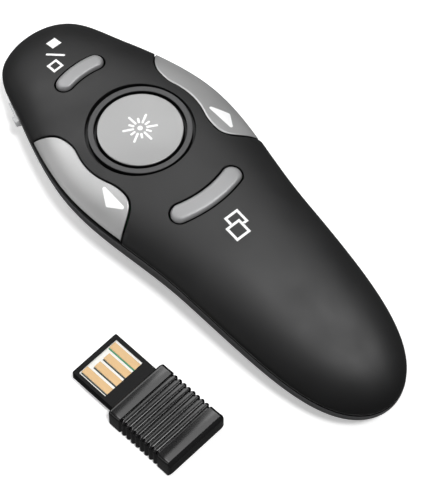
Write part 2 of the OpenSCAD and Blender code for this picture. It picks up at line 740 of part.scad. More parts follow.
// ---- Cells and contacts ----
module cell(side, front) {
    nub = 0.8;
    start = front ? bay_front - plate_t - touch - cell_len : bay_rear + plate_t + touch + cell_len;
    color("#7d858c") translate([side * cell_x, start, cell_z]) rotate([front ? -90 : 90, 0, 0])
        rotate_extrude($fn = 64) polygon([
            [0, 0], [cell_d / 2 - 0.5, 0], [cell_d / 2, 0.5], [cell_d / 2, cell_len - nub - 0.6],
            [cell_d / 2 - 0.6, cell_len - nub], [1.9, cell_len - nub], [1.9, cell_len], [0, cell_len]
        ]);
}
module cell_left() { cell(-1, true); }
module cell_right() { cell(1, false); }
module link_plate() {
    half = 0.6 * cell_d;
    color("#c3c4c6") box([-cell_x - 0.36 * cell_d, bay_rear, cell_z - half / 2],
        [cell_x + 0.36 * cell_d, bay_rear + plate_t, cell_z + half / 2]);
}
module front_plate(x) {
    half = 0.38 * cell_d;
    color("#c3c4c6")
        box([x - half, bay_front - plate_t, cell_z - half], [x + half, bay_front, cell_z + half]);
}
module positive_plate() {
    front_plate(-cell_x);
}
module negative_plate() {
    front_plate(cell_x);
}
spring_turns = 3;
spring_wire = 0.5;
spring_big_r = 4;
spring_small_r = 1.6;
spring_rings = 8 * spring_turns;
// Centre of the wire after k of the rings: a helix that narrows as it rises
function spring_point(k) = let(f = k / spring_rings, r = spring_big_r + (spring_small_r - spring_big_r) * f)
    [r * cos(360 * spring_turns * f), r * sin(360 * spring_turns * f),
        spring_wire / 2 + (spring_len - spring_wire) * f];
function unit(v) = v / norm(v);
module coil_spring() {
    ring_loft([for (k = [0:spring_rings]) let(
        p = spring_point(k), ahead = unit(spring_point(k + 0.5) - spring_point(k - 0.5)),
        side = unit(cross(ahead, [0, 0, 1])), up = cross(side, ahead))
        [for (j = [0:5]) p + spring_wire / 2 * (cos(60 * j + 30) * side + sin(60 * j + 30) * up)]]);
}
echo(least_spring_gap = min([for (k = [0:spring_rings - 8])
    norm(spring_point(k + 8) - spring_point(k)) - spring_wire]));
module spring_rear() {
    color("#c9cacc") translate([-cell_x, bay_rear + plate_t + touch, cell_z]) along_y(0) coil_spring();
}
module spring_front() {
    color("#c9cacc") translate([cell_x, bay_front - plate_t - touch, cell_z]) rotate([90, 0, 0])
        coil_spring();
}

// ---- Receiver ----
plug_z = 1.95;
contact_t = 0.12;
window_sink = 0.3;
tile_t = 0.8;
window_rear = 3;
window_tip = 0.95;
window_half_w = 5.15;
window_gap = 0.05;
plug_root = 4;
rec_board_len = rec_len - 5;
module receiver_frame_place() {
    translate([rec_x, rec_y, 0]) rotate([0, 0, rec_turn]) children();
}
// The shell's cross section, shrunk by inset
module shell_section(inset) {
    translate([0, rec_t / 2]) square([rec_w - 2 * inset, rec_t - 2 * inset - 1.2], center = true);
    translate([0, rec_t / 2]) square([rec_w - 2 * inset - 1.2, rec_t - 2 * inset], center = true);
    for (x = [-1, 1], z = [-1, 1])
        translate([x * (rec_w / 2 - inset - 0.6), rec_t / 2 + z * (rec_t / 2 - inset - 0.6)])
            circle(r = 0.6, $fn = 24);
}
module receiver_shell() {
    bevel = 1.2;
    groove_w = 0.5;
    groove_depth = 0.4;
    color("#17181a") receiver_frame_place() difference() {
        intersection() {
            rotate([90, 0, 0]) linear_extrude(rec_len) shell_section(0);
            rotate([90, 0, 90]) translate([0, 0, -rec_w]) linear_extrude(2 * rec_w) polygon([
                [-rec_len, bevel], [-rec_len + bevel, 0], [-0.5, 0], [0, 0.5], [0, rec_t - 0.5],
                [-0.5, rec_t], [-rec_len + bevel, rec_t], [-rec_len, rec_t - bevel]
            ]);
            linear_extrude(rec_t) polygon([
                [-rec_w / 2, -0.8], [-rec_w / 2 + 0.8, 0], [rec_w / 2 - 0.8, 0], [rec_w / 2, -0.8],
                [rec_w / 2, -rec_len + 0.8], [rec_w / 2 - 0.8, -rec_len], [-rec_w / 2 + 0.8, -rec_len],
                [-rec_w / 2, -rec_len + 0.8]
            ]);
        }
        for (i = [0:rib_count - 1])
            translate([0, -rib_front - i * rib_pitch, 0]) rotate([90, 0, 0])
                linear_extrude(groove_w) difference() {
                    translate([-rec_w, -rec_t]) square([2 * rec_w, 3 * rec_t]);
                    shell_section(groove_depth);
                }
        box([-plug_w / 2 - window_gap, -rec_board_len - 2, plug_z - window_gap],
            [plug_w / 2 + window_gap, 1, plug_z + plug_t + window_gap]);
    }
}
module receiver_frame() {
    top = plug_z + plug_t;
    tip = plug_len - window_tip;
    color("#1b1c1e") receiver_frame_place() difference() {
        box([-plug_w / 2, -plug_root, plug_z], [plug_w / 2, plug_len, top]);
        box([-window_half_w, -plug_root - 1, top - window_sink - tile_t],
            [window_half_w, tip, top - window_sink]);
        box([-window_half_w, window_rear, top - window_sink - eps], [window_half_w, tip, top + 1]);
    }
}
module receiver_board() {
    top = plug_z + plug_t - window_sink;
    color("#eceae2") receiver_frame_place()
        box([-window_half_w + window_gap, -rec_board_len, top - tile_t],
            [window_half_w - window_gap, plug_len - window_tip - window_gap, top]);
}
contact_pitch = 2.5;
contact_w = 1.9;
// Gaps between the contacts' tips and the end of the window: outer pair, inner pair
contact_back = [0.25, 1.2];
module receiver_contacts() {
    low = plug_z + plug_t - window_sink;
    color("#d9b46a") receiver_frame_place() for (side = [-1, 1], k = [0, 1]) {
        x = side * (1.5 - k) * contact_pitch;
        box([x - contact_w / 2, window_rear + window_gap, low],
            [x + contact_w / 2, plug_len - window_tip - contact_back[k], low + contact_t]);
    }
}
module receiver_chip() {
    top = plug_z + plug_t - window_sink - tile_t;
    color("#18191b") receiver_frame_place() box([-2, -10.5, top - 0.8], [2, -6.5, top]);
}

top_shell();
bottom_shell();
battery_door();
button_ring();
laser_button();
screen_key();
window_key();
page_left_key();
page_right_key();
power_slider();
main_board();
tact_body_laser();
tact_body_screen();
tact_body_window();
tact_body_left();
tact_body_right();
tact_stem_laser();
tact_stem_screen();
tact_stem_window();
tact_stem_left();
tact_stem_right();
slide_switch_body();
slide_switch_lever();
laser_barrel();
laser_lens();
nose_bezel();
radio_chip();
crystal_can();
cell_left();
cell_right();
link_plate();
positive_plate();
negative_plate();
spring_front();
spring_rear();
case_screws();
receiver_shell();
receiver_frame();
receiver_board();
receiver_contacts();
receiver_chip();
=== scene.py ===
"""Wireless presentation clicker with its USB receiver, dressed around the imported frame.

Shapes are worked out in millimetres and turned to metres when a piece is finished. The case is a loft:
at station angle t, 0 at the head and 180 at the tail, y is half the length times cos(t) and the half
width is sin(t) times the girth there.
"""
import math

import bmesh
import bpy
import numpy as np
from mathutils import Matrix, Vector


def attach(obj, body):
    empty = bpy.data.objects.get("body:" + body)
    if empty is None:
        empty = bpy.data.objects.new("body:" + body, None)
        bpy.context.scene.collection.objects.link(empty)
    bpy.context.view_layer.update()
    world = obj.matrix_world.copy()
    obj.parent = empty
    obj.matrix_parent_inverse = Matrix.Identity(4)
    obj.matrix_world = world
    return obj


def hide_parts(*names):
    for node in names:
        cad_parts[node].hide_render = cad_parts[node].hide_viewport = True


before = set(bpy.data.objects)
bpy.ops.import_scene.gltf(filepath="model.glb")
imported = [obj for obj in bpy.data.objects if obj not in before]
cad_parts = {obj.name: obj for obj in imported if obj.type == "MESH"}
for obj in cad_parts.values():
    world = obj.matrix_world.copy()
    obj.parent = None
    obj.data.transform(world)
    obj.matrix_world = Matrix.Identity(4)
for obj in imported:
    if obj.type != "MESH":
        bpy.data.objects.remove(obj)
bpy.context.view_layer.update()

# ---- Sizes of the case, in millimetres ----
HALF_LEN = 55.1
GIRTH_AT = np.array([0, 45, 66, 104, 180.0])
GIRTH = np.array([30, 20.05, 20.6, 16.25, 22.3])
SEAM_H, SEAM_CREST_Y, HEAD_DROP, TAIL_DROP = 14.5, 7.0, 5.0, 6.0
CROWN_H, BELLY_OVER = 6.0, 1.2
REVEAL, REVEAL_DEPTH = 0.45, 0.7
TOP_WALL, BASE_WALL = 1.6, 1.5
RING_Y, RING_Z, RING_TILT = 18.6, 19.65, math.radians(3)
RING_R, RING_W, RING_GROOVE, SEAT_DEPTH = 10.4, 1.15, 0.55, 1.7
BUTTON_R, BUTTON_RIM, BUTTON_RISE, KEY_GAP = 8.5, 0.18, 0.4, 0.35
# The arc keys' outlines are those of the photo, a little off the solids' own
SCREEN_KEY = dict(way=1, r=19.15, half_a=11.5, width=3.65)
WINDOW_KEY = dict(way=-1, r=21.0, half_a=18.4, width=3.95)
SCOOP_R = 13.2
FRONT_LOBE, REAR_LOBE = (17.3, 27.2, 5.2), (15.7, 9.3, 4.3)
SLIDER_Y, SLIDER_BELOW, SLIDER_WINDOW, SLIDER_TRAVEL = 42.9, 2.4, 5.0, 2.5
SLIDER_H, SLIDER_T, SLIDER_PROUD, NUB_PROUD = 2.0, 0.75, 0.45, 0.55
BOARD_Z, NOSE_Z, WINDOW_R = 13.2, 10.2, 1.3
BAY_FRONT, BAY_LEN, DOOR_HALF_W, DOOR_TOP, DOOR_GAP = 14.4, 47.6, 11.0, 4.5, 0.15
RECEIVER_AT, RECEIVER_TURN = (-33.0, -18.4), math.radians(4.6)
REC_W, REC_LEN, REC_T = 15.0, 17.0, 5.6
PLUG_W, PLUG_LEN, PLUG_T, PLUG_Z = 12.0, 11.4, 2.25, 1.95
RIB_FRONT, RIB_COUNT, RIB_PITCH = 3.4, 8, 1.22
FRONT_R, REAR_R = 0.55, 0.42
SIDE_POWER, RISE_POWER = 0.87, 1.24
INK_OVER, INK_UNDER = 0.03, 0.05
MARK_LINE = 0.52


# ---- The case's skins ----
def girth(t):
    """Girth at station t in degrees: cosine steps from one given girth to the next."""
    i = np.clip(np.searchsorted(GIRTH_AT, t, side="right") - 1, 0, len(GIRTH) - 2)
    k = (t - GIRTH_AT[i]) / (GIRTH_AT[i + 1] - GIRTH_AT[i])
    return GIRTH[i] + (GIRTH[i + 1] - GIRTH[i]) * (1 - np.cos(np.pi * k)) / 2


def station(y):
    """Station angle, in degrees, where half the length times its cosine is y."""
    return np.degrees(np.arccos(np.clip(np.asarray(y, float) / HALF_LEN, -1, 1)))


def half_w(y):
    """Half width of the case at y: sine of the station times the girth there."""
    t = station(y)
    return np.sin(np.radians(t)) * girth(t)


def seam_z(y):
    """Height of the seam: its crest less a parabola to the head and another to the tail."""
    ahead = HEAD_DROP * ((y - SEAM_CREST_Y) / (HALF_LEN - SEAM_CREST_Y)) ** 2
    behind = TAIL_DROP * ((SEAM_CREST_Y - y) / (HALF_LEN + SEAM_CREST_Y)) ** 2
    return SEAM_H - np.where(y > SEAM_CREST_Y, ahead, behind)


def end_fade(t, power):
    """Share of the full height left near the ends: square root of one less cos(t) to a power."""
    return np.sqrt(np.clip(1 - np.abs(np.cos(np.radians(t))) ** power, 0, 1))


def top_point(t, v, off=0.0):
    """Upper skin at station t and section angle v: the side goes as sine of v to 0.87, the rise as its
    cosine to 1.24, both shrunk by off."""
    t, v, off = np.broadcast_arrays(np.asarray(t, float), np.asarray(v, float), np.asarray(off, float))
    s, c = np.sin(np.radians(v)), np.clip(np.cos(np.radians(v)), 0, 1)
    y = (HALF_LEN - off) * np.cos(np.radians(t))
    x = np.sin(np.radians(t)) * (girth(t) - off) * np.sign(s) * np.abs(s) ** SIDE_POWER
    z = seam_z(y) + REVEAL + (CROWN_H - REVEAL - off) * end_fade(t, 8) * c ** RISE_POWER
    return np.stack([x, y, z], -1)


def base_point(t, v, off=0.0, floor=0.0, soft=0.0):
    """Lower skin at station t and section angle v: half an ellipse below the seam, shrunk by off and
    levelled off at floor, with a soft turn of the size soft."""
    t, v = np.broadcast_arrays(np.asarray(t, float), np.asarray(v, float))
    s, c = np.sin(np.radians(v)), np.cos(np.radians(v))
    y = (HALF_LEN - off) * np.cos(np.radians(t))
    x = np.sin(np.radians(t)) * (girth(t) - off) * s
    drop = seam_z(y) - (seam_z(y) + BELLY_OVER - off) * end_fade(t, 6) * c - floor
    return np.stack([x, y, floor + (drop + np.sqrt(drop ** 2 + soft ** 2)) / 2], -1)


def top_z(x, y):
    """Height of the upper skin above a point of the plan."""
    r = np.clip(np.abs(x) / half_w(y), 0, 1)
    rise = (1 - r ** (2 / SIDE_POWER)) ** (RISE_POWER / 2)
    return seam_z(y) + REVEAL + (CROWN_H - REVEAL) * end_fade(station(y), 8) * rise


def section_angle(x, y):
    """Section angle v of the upper skin above a point of the plan."""
    return np.degrees(np.arcsin(np.clip(np.abs(x) / half_w(y), 0, 1) ** (1 / SIDE_POWER))) * np.sign(x)


def ring_plane(x, y, depth):
    """Height of the plane that lies depth under the ring's tilted face."""
    return RING_Z - (depth + (y - RING_Y) * math.sin(RING_TILT)) / math.cos(RING_TILT)


def ring_frame(points):
    """Points given about the ring's own axis, tilted towards the head and put in place."""
    c, s = math.cos(RING_TILT), math.sin(RING_TILT)
    x, y, z = points[..., 0], points[..., 1], points[..., 2]
    return np.stack([x, RING_Y + y * c + z * s, RING_Z - y * s + z * c], -1)


# ---- Meshes from grids ----
def grid_faces(rows, cols, wrap_rows=False, wrap_cols=True):
    """Quads of a grid of points, joined round its columns and, if asked, round its rows."""
    r = np.arange(rows if wrap_rows else rows - 1)[:, None]
    c = np.arange(cols if wrap_cols else cols - 1)[None, :]
    near, far = r * cols, (r + 1) % rows * cols
    right = (c + 1) % cols
    return np.stack([near + c, near + right, far + right, far + c], -1).reshape(-1, 4)


def solid(grid, caps=False, wrap_rows=False):
    """A closed body over loops of points, capped at its first and last loop or shrunk to points there."""
    rows, cols = grid.shape[:2]
    faces = grid_faces(rows, cols, wrap_rows).tolist()
    if caps:
        faces += [list(range(cols)), list(range((rows - 1) * cols, rows * cols))]
    return body_of([(grid.reshape(-1, 3), faces)])


def body_of(parts):
    """One object, still in millimetres, from several lists of points and faces that don't touch."""
    points, faces, start = [], [], 0
    for part_points, part_faces in parts:
        points.append(part_points)
        faces += [[start + i for i in f] for f in part_faces]
        start += len(part_points)
    mesh = bpy.data.meshes.new("work")
    mesh.from_pydata(np.concatenate(points).tolist(), [], faces)
    bm = bmesh.new()
    bm.from_mesh(mesh)
    bmesh.ops.remove_doubles(bm, verts=bm.verts, dist=2e-4)
    bmesh.ops.dissolve_degenerate(bm, edges=bm.edges, dist=1e-4)
    bmesh.ops.recalc_face_normals(bm, faces=bm.faces)
    bm.to_mesh(mesh)
    bm.free()
    thing = bpy.data.objects.new("work", mesh)
    bpy.context.scene.collection.objects.link(thing)
    return thing


def joined(*things):
    """Bodies that don't touch each other, as one object."""
    bm = bmesh.new()
    for thing in things:
        bm.from_mesh(thing.data)
    bm.to_mesh(things[0].data)
    bm.free()
    for thing in things[1:]:
        bpy.data.objects.remove(thing)
    return things[0]


def carved(thing, operation, tool):
    """The body after a boolean with the tool, which is used up."""
    step = thing.modifiers.new("step", "BOOLEAN")
    step.operation, step.solver, step.object = operation, "EXACT", tool
    bpy.context.view_layer.update()
    result = bpy.data.meshes.new_from_object(thing.evaluated_get(bpy.context.evaluated_depsgraph_get()))
    thing.modifiers.clear()
    thing.data = result
    bpy.data.objects.remove(tool)
    return thing


def piece(name, thing, finish, body, node=None, crease=32):
    """Finishes a body: metres, smooth shading up to the crease angle, material, ride and node."""
    thing.name = thing.data.name = name
    bm = bmesh.new()
    bm.from_mesh(thing.data)
    bmesh.ops.remove_doubles(bm, verts=bm.verts, dist=1e-3)
    bmesh.ops.dissolve_degenerate(bm, edges=bm.edges, dist=5e-4)
    bmesh.ops.scale(bm, vec=(0.001, 0.001, 0.001), verts=bm.verts)
    bm.to_mesh(thing.data)
    bm.free()
    thing.data.shade_smooth()
    thing.data.set_sharp_from_angle(angle=math.radians(crease))
    thing.data.materials.clear()
    thing.data.materials.append(finish)
    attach(thing, body)
    if node:
        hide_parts(node)
    return thing


def paint_gap_shade(thing, depth, below):
    """Gives a black of painted shade to the faces whose middle lies deeper than below, by the depth function
    of the distance from the middle plane, y and z: it stands for the dark of the gaps beside them."""
    thing.data.materials.append(gap_shade_black)
    for face in thing.data.polygons:
        x, y, z = (1000 * c for c in face.center)
        if depth(abs(x), y, z) > below:
            face.material_index = 1


def arc(r, steps, start=0.0, end=90.0):
    """Sine and cosine steps of a fillet of radius r: how far in, and how far down, from the edge."""
    a = np.radians(np.linspace(start, end, steps))
    return r * (1 - np.cos(a)), r * (1 - np.sin(a))


def revolved(profile, count=160):
    """A profile of (radius, height) pairs turned about the height axis; it begins and ends on it, or
    it closes on itself."""
    profile = np.asarray(profile, float)
    a = np.radians(np.arange(count) * 360 / count)[:, None]
    return np.stack([profile[:, 0] * np.cos(a), profile[:, 0] * np.sin(a), profile[:, 1] + 0 * a], -1)


def rounded_rect(w, h, r, steps=6):
    """Outline of a rectangle about the middle, with quarter circles of radius r at its corners."""
    a = np.radians(np.linspace(0, 90, steps))
    corner = r * np.stack([np.cos(a), np.sin(a)], -1)
    turns = [np.array([[c, -s], [s, c]]) for c, s in ((1, 0), (0, 1), (-1, 0), (0, -1))]
    middles = [(w / 2 - r, h / 2 - r), (r - w / 2, h / 2 - r), (r - w / 2, r - h / 2), (w / 2 - r, r - h / 2)]
    return np.concatenate([corner @ turn.T + middle for turn, middle in zip(turns, middles)])


def rounded_block(low, high, r, corner=None):
    """A block with rounded corners in plan and rounded edges above and below."""
    low, high = np.array(low, float), np.array(high, float)
    corner = r if corner is None else corner
    size, middle = high - low, (high + low) / 2
    inset, depth = arc(r, 5)
    levels = [(i, low[2] + d) for i, d in zip(inset[::-1], depth[::-1])]
    levels += [(i, high[2] - d) for i, d in zip(inset, depth)]
    loops = []
    for i, z in levels:
        flat = rounded_rect(size[0] - 2 * i, size[1] - 2 * i, max(corner - i, 0.01)) + middle[:2]
        loops.append(np.column_stack([flat, np.full(len(flat), z)]))
    return np.array(loops)


def smoothed(path, sigma, spacing=0.25):
    """A plan path resampled at even spacing and blurred along its length, its ends kept."""
    path = np.asarray(path, float)
    length = np.concatenate([[0], np.cumsum(np.linalg.norm(np.diff(path, axis=0), axis=1))])
    s = np.linspace(0, length[-1], max(3, int(length[-1] / spacing)))
    even = np.column_stack([np.interp(s, length, path[:, k]) for k in (0, 1)])
    reach = int(4 * sigma / spacing)
    if reach < 1:
        return even
    kernel = np.exp(-0.5 * (np.arange(-reach, reach + 1) * spacing / sigma) ** 2)
    kernel /= kernel.sum()
    lead = 2 * even[0] - even[reach:0:-1]
    tail = 2 * even[-1] - even[-2:-reach - 2:-1]
    long = np.concatenate([lead, even, tail])
    return np.column_stack([np.convolve(long[:, k], kernel, "valid") for k in (0, 1)])


def side_step(path, closed=False):
    """Unit vectors to the right of a plan path at each of its points."""
    if closed:
        ahead = np.roll(path, -1, 0) - np.roll(path, 1, 0)
    else:
        ahead = np.gradient(path, axis=0)
    ahead = ahead / np.linalg.norm(ahead, axis=1)[:, None]
    return np.stack([ahead[:, 1], -ahead[:, 0]], -1)


# ---- Outlines of the keys ----
def turned(angles, r, centre):
    """Points on a circle at the given angles in degrees."""
    a = np.radians(angles)
    return np.stack([centre[0] + r * np.cos(a), centre[1] + r * np.sin(a)], -1)


def wing_edge():
    """Inner edge of the right wing from beyond the case ahead to beyond it behind: a straight run at 45
    degrees, the front lobe, the scoop round the ring, the rear lobe and a run at 30 degrees, blurred."""
    fx, fy, fr = FRONT_LOBE
    rx, ry, rr = REAR_LOBE
    front = turned(np.linspace(135, 180, 24), fr, (fx, fy))
    rear = turned(np.linspace(180, 240, 24), rr, (rx, ry))
    scoop = turned(np.linspace(26, -27, 40), SCOOP_R, (0, RING_Y))
    lead = front[0] + 14 * np.array([math.cos(math.pi / 4), math.sin(math.pi / 4)])
    tail = rear[-1] + 14 * np.array([math.cos(math.pi / 6), -math.sin(math.pi / 6)])
    return smoothed(np.concatenate([[lead], front, scoop, rear, [tail]]), 1.1)


WING_EDGE = wing_edge()


def pill_outline(way, r, half_a, width, grow=0.0):
    """Outline of an arc key in plan: two arcs about the ring joined by half circles."""
    w = width / 2 + grow
    a = np.radians(np.linspace(-half_a, half_a, 48))
    outer = np.stack([(r + w) * np.sin(a), (r + w) * np.cos(a)], -1)
    inner = np.stack([(r - w) * np.sin(a), (r - w) * np.cos(a)], -1)[::-1]
    end = math.radians(half_a)
    turn = np.linspace(0, math.pi, 20)[1:-1]

    def cap(a0, sign):
        radial = np.array([math.sin(a0), math.cos(a0)])
        along = sign * np.array([math.cos(a0), -math.sin(a0)])
        return r * radial + w * (np.cos(turn)[:, None] * radial * sign + np.sin(turn)[:, None] * along)

    loop = np.concatenate([outer, cap(end, 1), inner, cap(-end, -1)])
    return loop * (1, way) + (0, RING_Y)


def flared(outline, foot, fillet, top=24.0):
    """A cutter through the upper skin along a closed plan outline. It widens at the skin by a fillet, so
    that the edge it leaves is rounded; foot is a list of (step outwards, height) below the fillet."""
    if np.sum(np.cross(outline, np.roll(outline, -1, 0))) < 0:
        outline = outline[::-1]
    out = side_step(outline, closed=True)
    out_by, down = arc(fillet, 5, 0, 66)
    rows = list(foot) + [(o, -dn) for o, dn in zip(out_by, down)]
    slope = math.tan(math.radians(24))
    rows += [(out_by[-1] + 0.25 / slope * 0.5, -down[-1] + 0.25), (out_by[-1] + 0.3, top)]
    loops = []
    for k, (d, z) in enumerate(rows):
        p = outline + out * d
        if k < len(foot):
            height = z(p[:, 0], p[:, 1]) if callable(z) else np.full(len(p), float(z))
        elif k == len(rows) - 1:
            height = np.full(len(p), float(z))
        else:
            height = top_z(p[:, 0], p[:, 1]) + z
        loops.append(np.column_stack([p, height]))
    return solid(np.array(loops), caps=True)


# ---- Materials ----
def linear(code):
    """A colour written as sRGB hex, in linear light with full alpha."""
    rgb = [int(code[i:i + 2], 16) / 255 for i in (1, 3, 5)]
    return [c / 12.92 if c <= 0.04045 else ((c + 0.055) / 1.055) ** 2.4 for c in rgb] + [1.0]


def add(tree, kind, inputs=None, **settings):
    """Adds a node with its settings; inputs gives each named socket a value or another node's output."""
    made = tree.nodes.new(kind)
    for name, value in settings.items():
        setattr(made, name, value)
    for name, value in (inputs or {}).items():
        if isinstance(value, bpy.types.NodeSocket):
            tree.links.new(value, made.inputs[name])
        else:
            made.inputs[name].default_value = value
    return made


def surface(name, colour, roughness, grain, depth, metallic=0.0, spread=0.06, mottle=0.05, **shader):
    """A moulded, painted or plated surface. Its grain is noise of the given size in millimetres that
    stands depth millimetres high; slower noise varies the roughness and the colour a little."""
    made = bpy.data.materials.new(name)
    made.use_nodes = True
    tree = made.node_tree
    tree.nodes.clear()
    place = add(tree, "ShaderNodeTexCoord").outputs["Object"]
    fine = add(tree, "ShaderNodeTexNoise", {"Vector": place, "Scale": 1000 / grain, "Detail": 2.0})
    slow = add(tree, "ShaderNodeTexNoise", {"Vector": place, "Scale": 1000 / 9, "Detail": 3.0})
    rough = add(tree, "ShaderNodeMapRange", {
        "Value": slow.outputs["Fac"], "From Min": 0.3, "From Max": 0.7,
        "To Min": max(0.02, roughness - spread), "To Max": roughness + spread})
    base = linear(colour)
    shade = add(tree, "ShaderNodeMix", {
        "Factor": slow.outputs["Fac"], "A": [c * (1 - mottle) for c in base[:3]] + [1],
        "B": [min(1, c * (1 + mottle)) for c in base[:3]] + [1]}, data_type="RGBA")
    bump = add(tree, "ShaderNodeBump", {
        "Height": fine.outputs["Fac"], "Strength": 1.0, "Distance": depth / 1000})
    inputs = {"Base Color": shade.outputs["Result"], "Roughness": rough.outputs["Result"],
              "Normal": bump.outputs["Normal"], "Metallic": metallic}
    inputs.update(shader)
    principled = add(tree, "ShaderNodeBsdfPrincipled", inputs)
    add(tree, "ShaderNodeOutputMaterial", {"Surface": principled.outputs["BSDF"]})
    return made


# Injection-moulded ABS with a fine spark-eroded texture: a broad, soft sheen over black
case_black = surface("moulded_abs_black", "#0a0a0b", 0.49, 0.22, 0.003)
# The same ABS in dark grey, of the lower moulding
case_grey = surface("moulded_abs_grey", "#464647", 0.5, 0.25, 0.004)
# Satin silver-grey paint over ABS: fine metal flake gives a soft metallic sheen
key_silver = surface("painted_silver_satin", "#b0b0b0", 0.42, 0.12, 0.001, metallic=0.5)
# The duller paint of the two arc keys
arc_silver = surface("painted_silver_dull", "#969697", 0.42, 0.12, 0.0015, metallic=0.3)
# Pale satin paint of the round button
button_silver = surface("painted_silver_pale", "#969696", 0.34, 0.12, 0.001, metallic=0.45)
# Dark grey satin paint of the trim ring
ring_grey = surface("painted_grey_ring", "#424243", 0.45, 0.12, 0.001, metallic=0.2)
# Painted shade: a black of low sheen on walls and ledges deep in the gaps, in place of the shade there; on
# the painted keys, ring and button it stands also for bare ABS that the paint doesn't reach
gap_shade_black = surface("gap_shade_paint_black", "#080809", 0.6, 0.22, 0.002, **{"Specular IOR Level": 0.2})
# Semi-gloss milky nylon of the slider
slider_white = surface("moulded_nylon_pale", "#c4c5c6", 0.35, 0.3, 0.002)
# Pad-printed white ink: matt, slightly raised
ink_white = surface("printed_ink_white", "#fefefe", 0.5, 0.2, 0.001, mottle=0.0)
# Polished black ABS of the receiver: tight highlights with a trace of orange peel
gloss_black = surface("polished_abs_black", "#060607", 0.17, 0.6, 0.0006, spread=0.02,
                      **{"Specular IOR Level": 0.65})
# Matt black nylon of the plug's frame
plug_black = surface("moulded_nylon_black", "#09090a", 0.5, 0.25, 0.003, **{"Specular IOR Level": 0.15})
# White solder mask over fibreglass
board_white = surface("solder_mask_white", "#f1f0ea", 0.4, 0.4, 0.002, mottle=0.02)
# Hard gold plating on copper lands, faintly pitted; a dark line of painted shadow runs beside three of them,
# and a green line beside the fourth
gold = surface("gold_plated_copper", "#cdab7c", 0.42, 0.2, 0.004, metallic=0.35)
# Painted shadow: dark green-black lines beside the lands stand for the shadow each land casts on the board
land_shadow_dark = surface("painted_land_shadow", "#23302b", 0.5, 0.2, 0.002)
trace_green = surface("solder_mask_green", "#2c8a5c", 0.45, 0.2, 0.002)
board_green = surface("solder_mask_board", "#1f6b3f", 0.4, 0.4, 0.003)
# Epoxy moulding of a chip: matt black with a fine filler grain
chip_black = surface("moulded_epoxy_black", "#19191b", 0.6, 0.15, 0.004)
# Tin-plated steel of cans, plates and springs
tin = surface("tin_plated_steel", "#c3c4c6", 0.3, 0.3, 0.002, metallic=1.0)
brass = surface("turned_brass", "#b8924a", 0.28, 0.2, 0.002, metallic=1.0)
bezel_black = surface("moulded_abs_bezel", "#0e0e10", 0.3, 0.3, 0.003)
# Printed and lacquered steel can of a cell
cell_skin = surface("lacquered_cell_can", "#5f686f", 0.25, 0.5, 0.002, metallic=0.5)
screw_steel = surface("zinc_plated_screw", "#9a9ca0", 0.35, 0.2, 0.003, metallic=1.0)
lens_glass = surface("clear_acrylic_lens", "#e8eef0", 0.08, 1.0, 0.0005, mottle=0.01, spread=0.02,
                     **{"Transmission Weight": 0.9, "IOR": 1.49})


# ---- Plain bodies for walls and cutters ----
def block(low, high):
    """A block between two corners."""
    (x0, y0, z0), (x1, y1, z1) = low, high
    loop = np.array([[x0, y0], [x1, y0], [x1, y1], [x0, y1]], float)
    return solid(np.stack([np.column_stack([loop, np.full(4, z)]) for z in (z0, z1)]), caps=True)


def post(x, y, r, z0, z1, count=48):
    """A plain upright cylinder for bosses and cutters."""
    loop = turned(np.arange(count) * 360 / count, r, (x, y))
    return solid(np.stack([np.column_stack([loop, np.full(count, z)]) for z in (z0, z1)]), caps=True)


def lying(x, r, y0, y1, z, count=96):
    """A plain cylinder along Y."""
    loop = turned(np.arange(count) * 360 / count, r, (x, z))
    grid = np.stack([np.column_stack([loop[:, 0], np.full(count, y), loop[:, 1]]) for y in (y0, y1)])
    return solid(grid, caps=True)


# ---- Upper shell ----
T_FINE = np.linspace(0, 180, 133)
V_FINE = np.linspace(-90, 90, 67)


def rim_points(t, side, off, lift):
    """Points at the seam's edge of the upper shell, off inside its skin and lift above its rim."""
    p = top_point(t, 90 * side, off)
    p[..., 2] += lift
    return p


def upper_shell():
    """The skin from rim to rim, a rounded rim, and the inner skin, as one loop for each station."""
    t = T_FINE[:, None]
    r = 0.3
    skin = top_point(t, V_FINE[None, :])
    rim = seam_z(skin[..., 1]) + REVEAL
    skin[..., 2] = np.maximum(skin[..., 2], rim + r)
    inset, down = arc(r, 5)
    right = np.concatenate([rim_points(t, 1, i, d) for i, d in zip(inset[1:], down[1:])], 1)
    left = np.concatenate([rim_points(t, -1, i, d) for i, d in zip(inset[1:], down[1:])][::-1], 1)
    inner = top_point(t, V_FINE[None, ::2][:, ::-1], TOP_WALL)
    return solid(np.concatenate([skin, right, inner, left], 1))


def nose_bore():
    """The laser's window through the head's tip, narrower than the solids' bore."""
    return lying(0, WINDOW_R, HALF_LEN - 7, HALF_LEN + 7, NOSE_Z)


def ring_seat():
    """Tube round the ring's well, with the seat that the ring stands on."""
    outer, inner = RING_R + RING_GROOVE + 1.15, BUTTON_R + KEY_GAP
    grid = revolved([(inner, -2.9), (outer, -2.9), (outer, -1.0), (inner, -1.0)])
    return solid(ring_frame(grid), wrap_rows=True)


shell = carved(upper_shell(), "UNION", ring_seat())
well = turned(np.arange(0, 360, 2.5), RING_R + RING_GROOVE, (0, RING_Y))
step = BUTTON_R + KEY_GAP - RING_R - RING_GROOVE
cutters = [flared(well, [
    (step, 8.0), (step, lambda x, y: ring_plane(x, y, SEAT_DEPTH)),
    (0, lambda x, y: ring_plane(x, y, SEAT_DEPTH))], 0.16)]
for key in (SCREEN_KEY, WINDOW_KEY):
    cutters.append(flared(pill_outline(grow=KEY_GAP, **key), [(0, 12.0)], 0.14))
far_side = np.array([[32.0, WING_EDGE[-1, 1]], [32.0, WING_EDGE[0, 1]]])
wing_hole = np.concatenate([WING_EDGE, far_side])
for side in (1, -1):
    cutters.append(flared(wing_hole * (side, 1), [(0, 9.5)], 0.16))
shell = carved(shell, "DIFFERENCE", joined(*cutters))
shell = carved(shell, "DIFFERENCE", nose_bore())
piece("top_shell_skin", shell, case_black, "case", "top_shell")


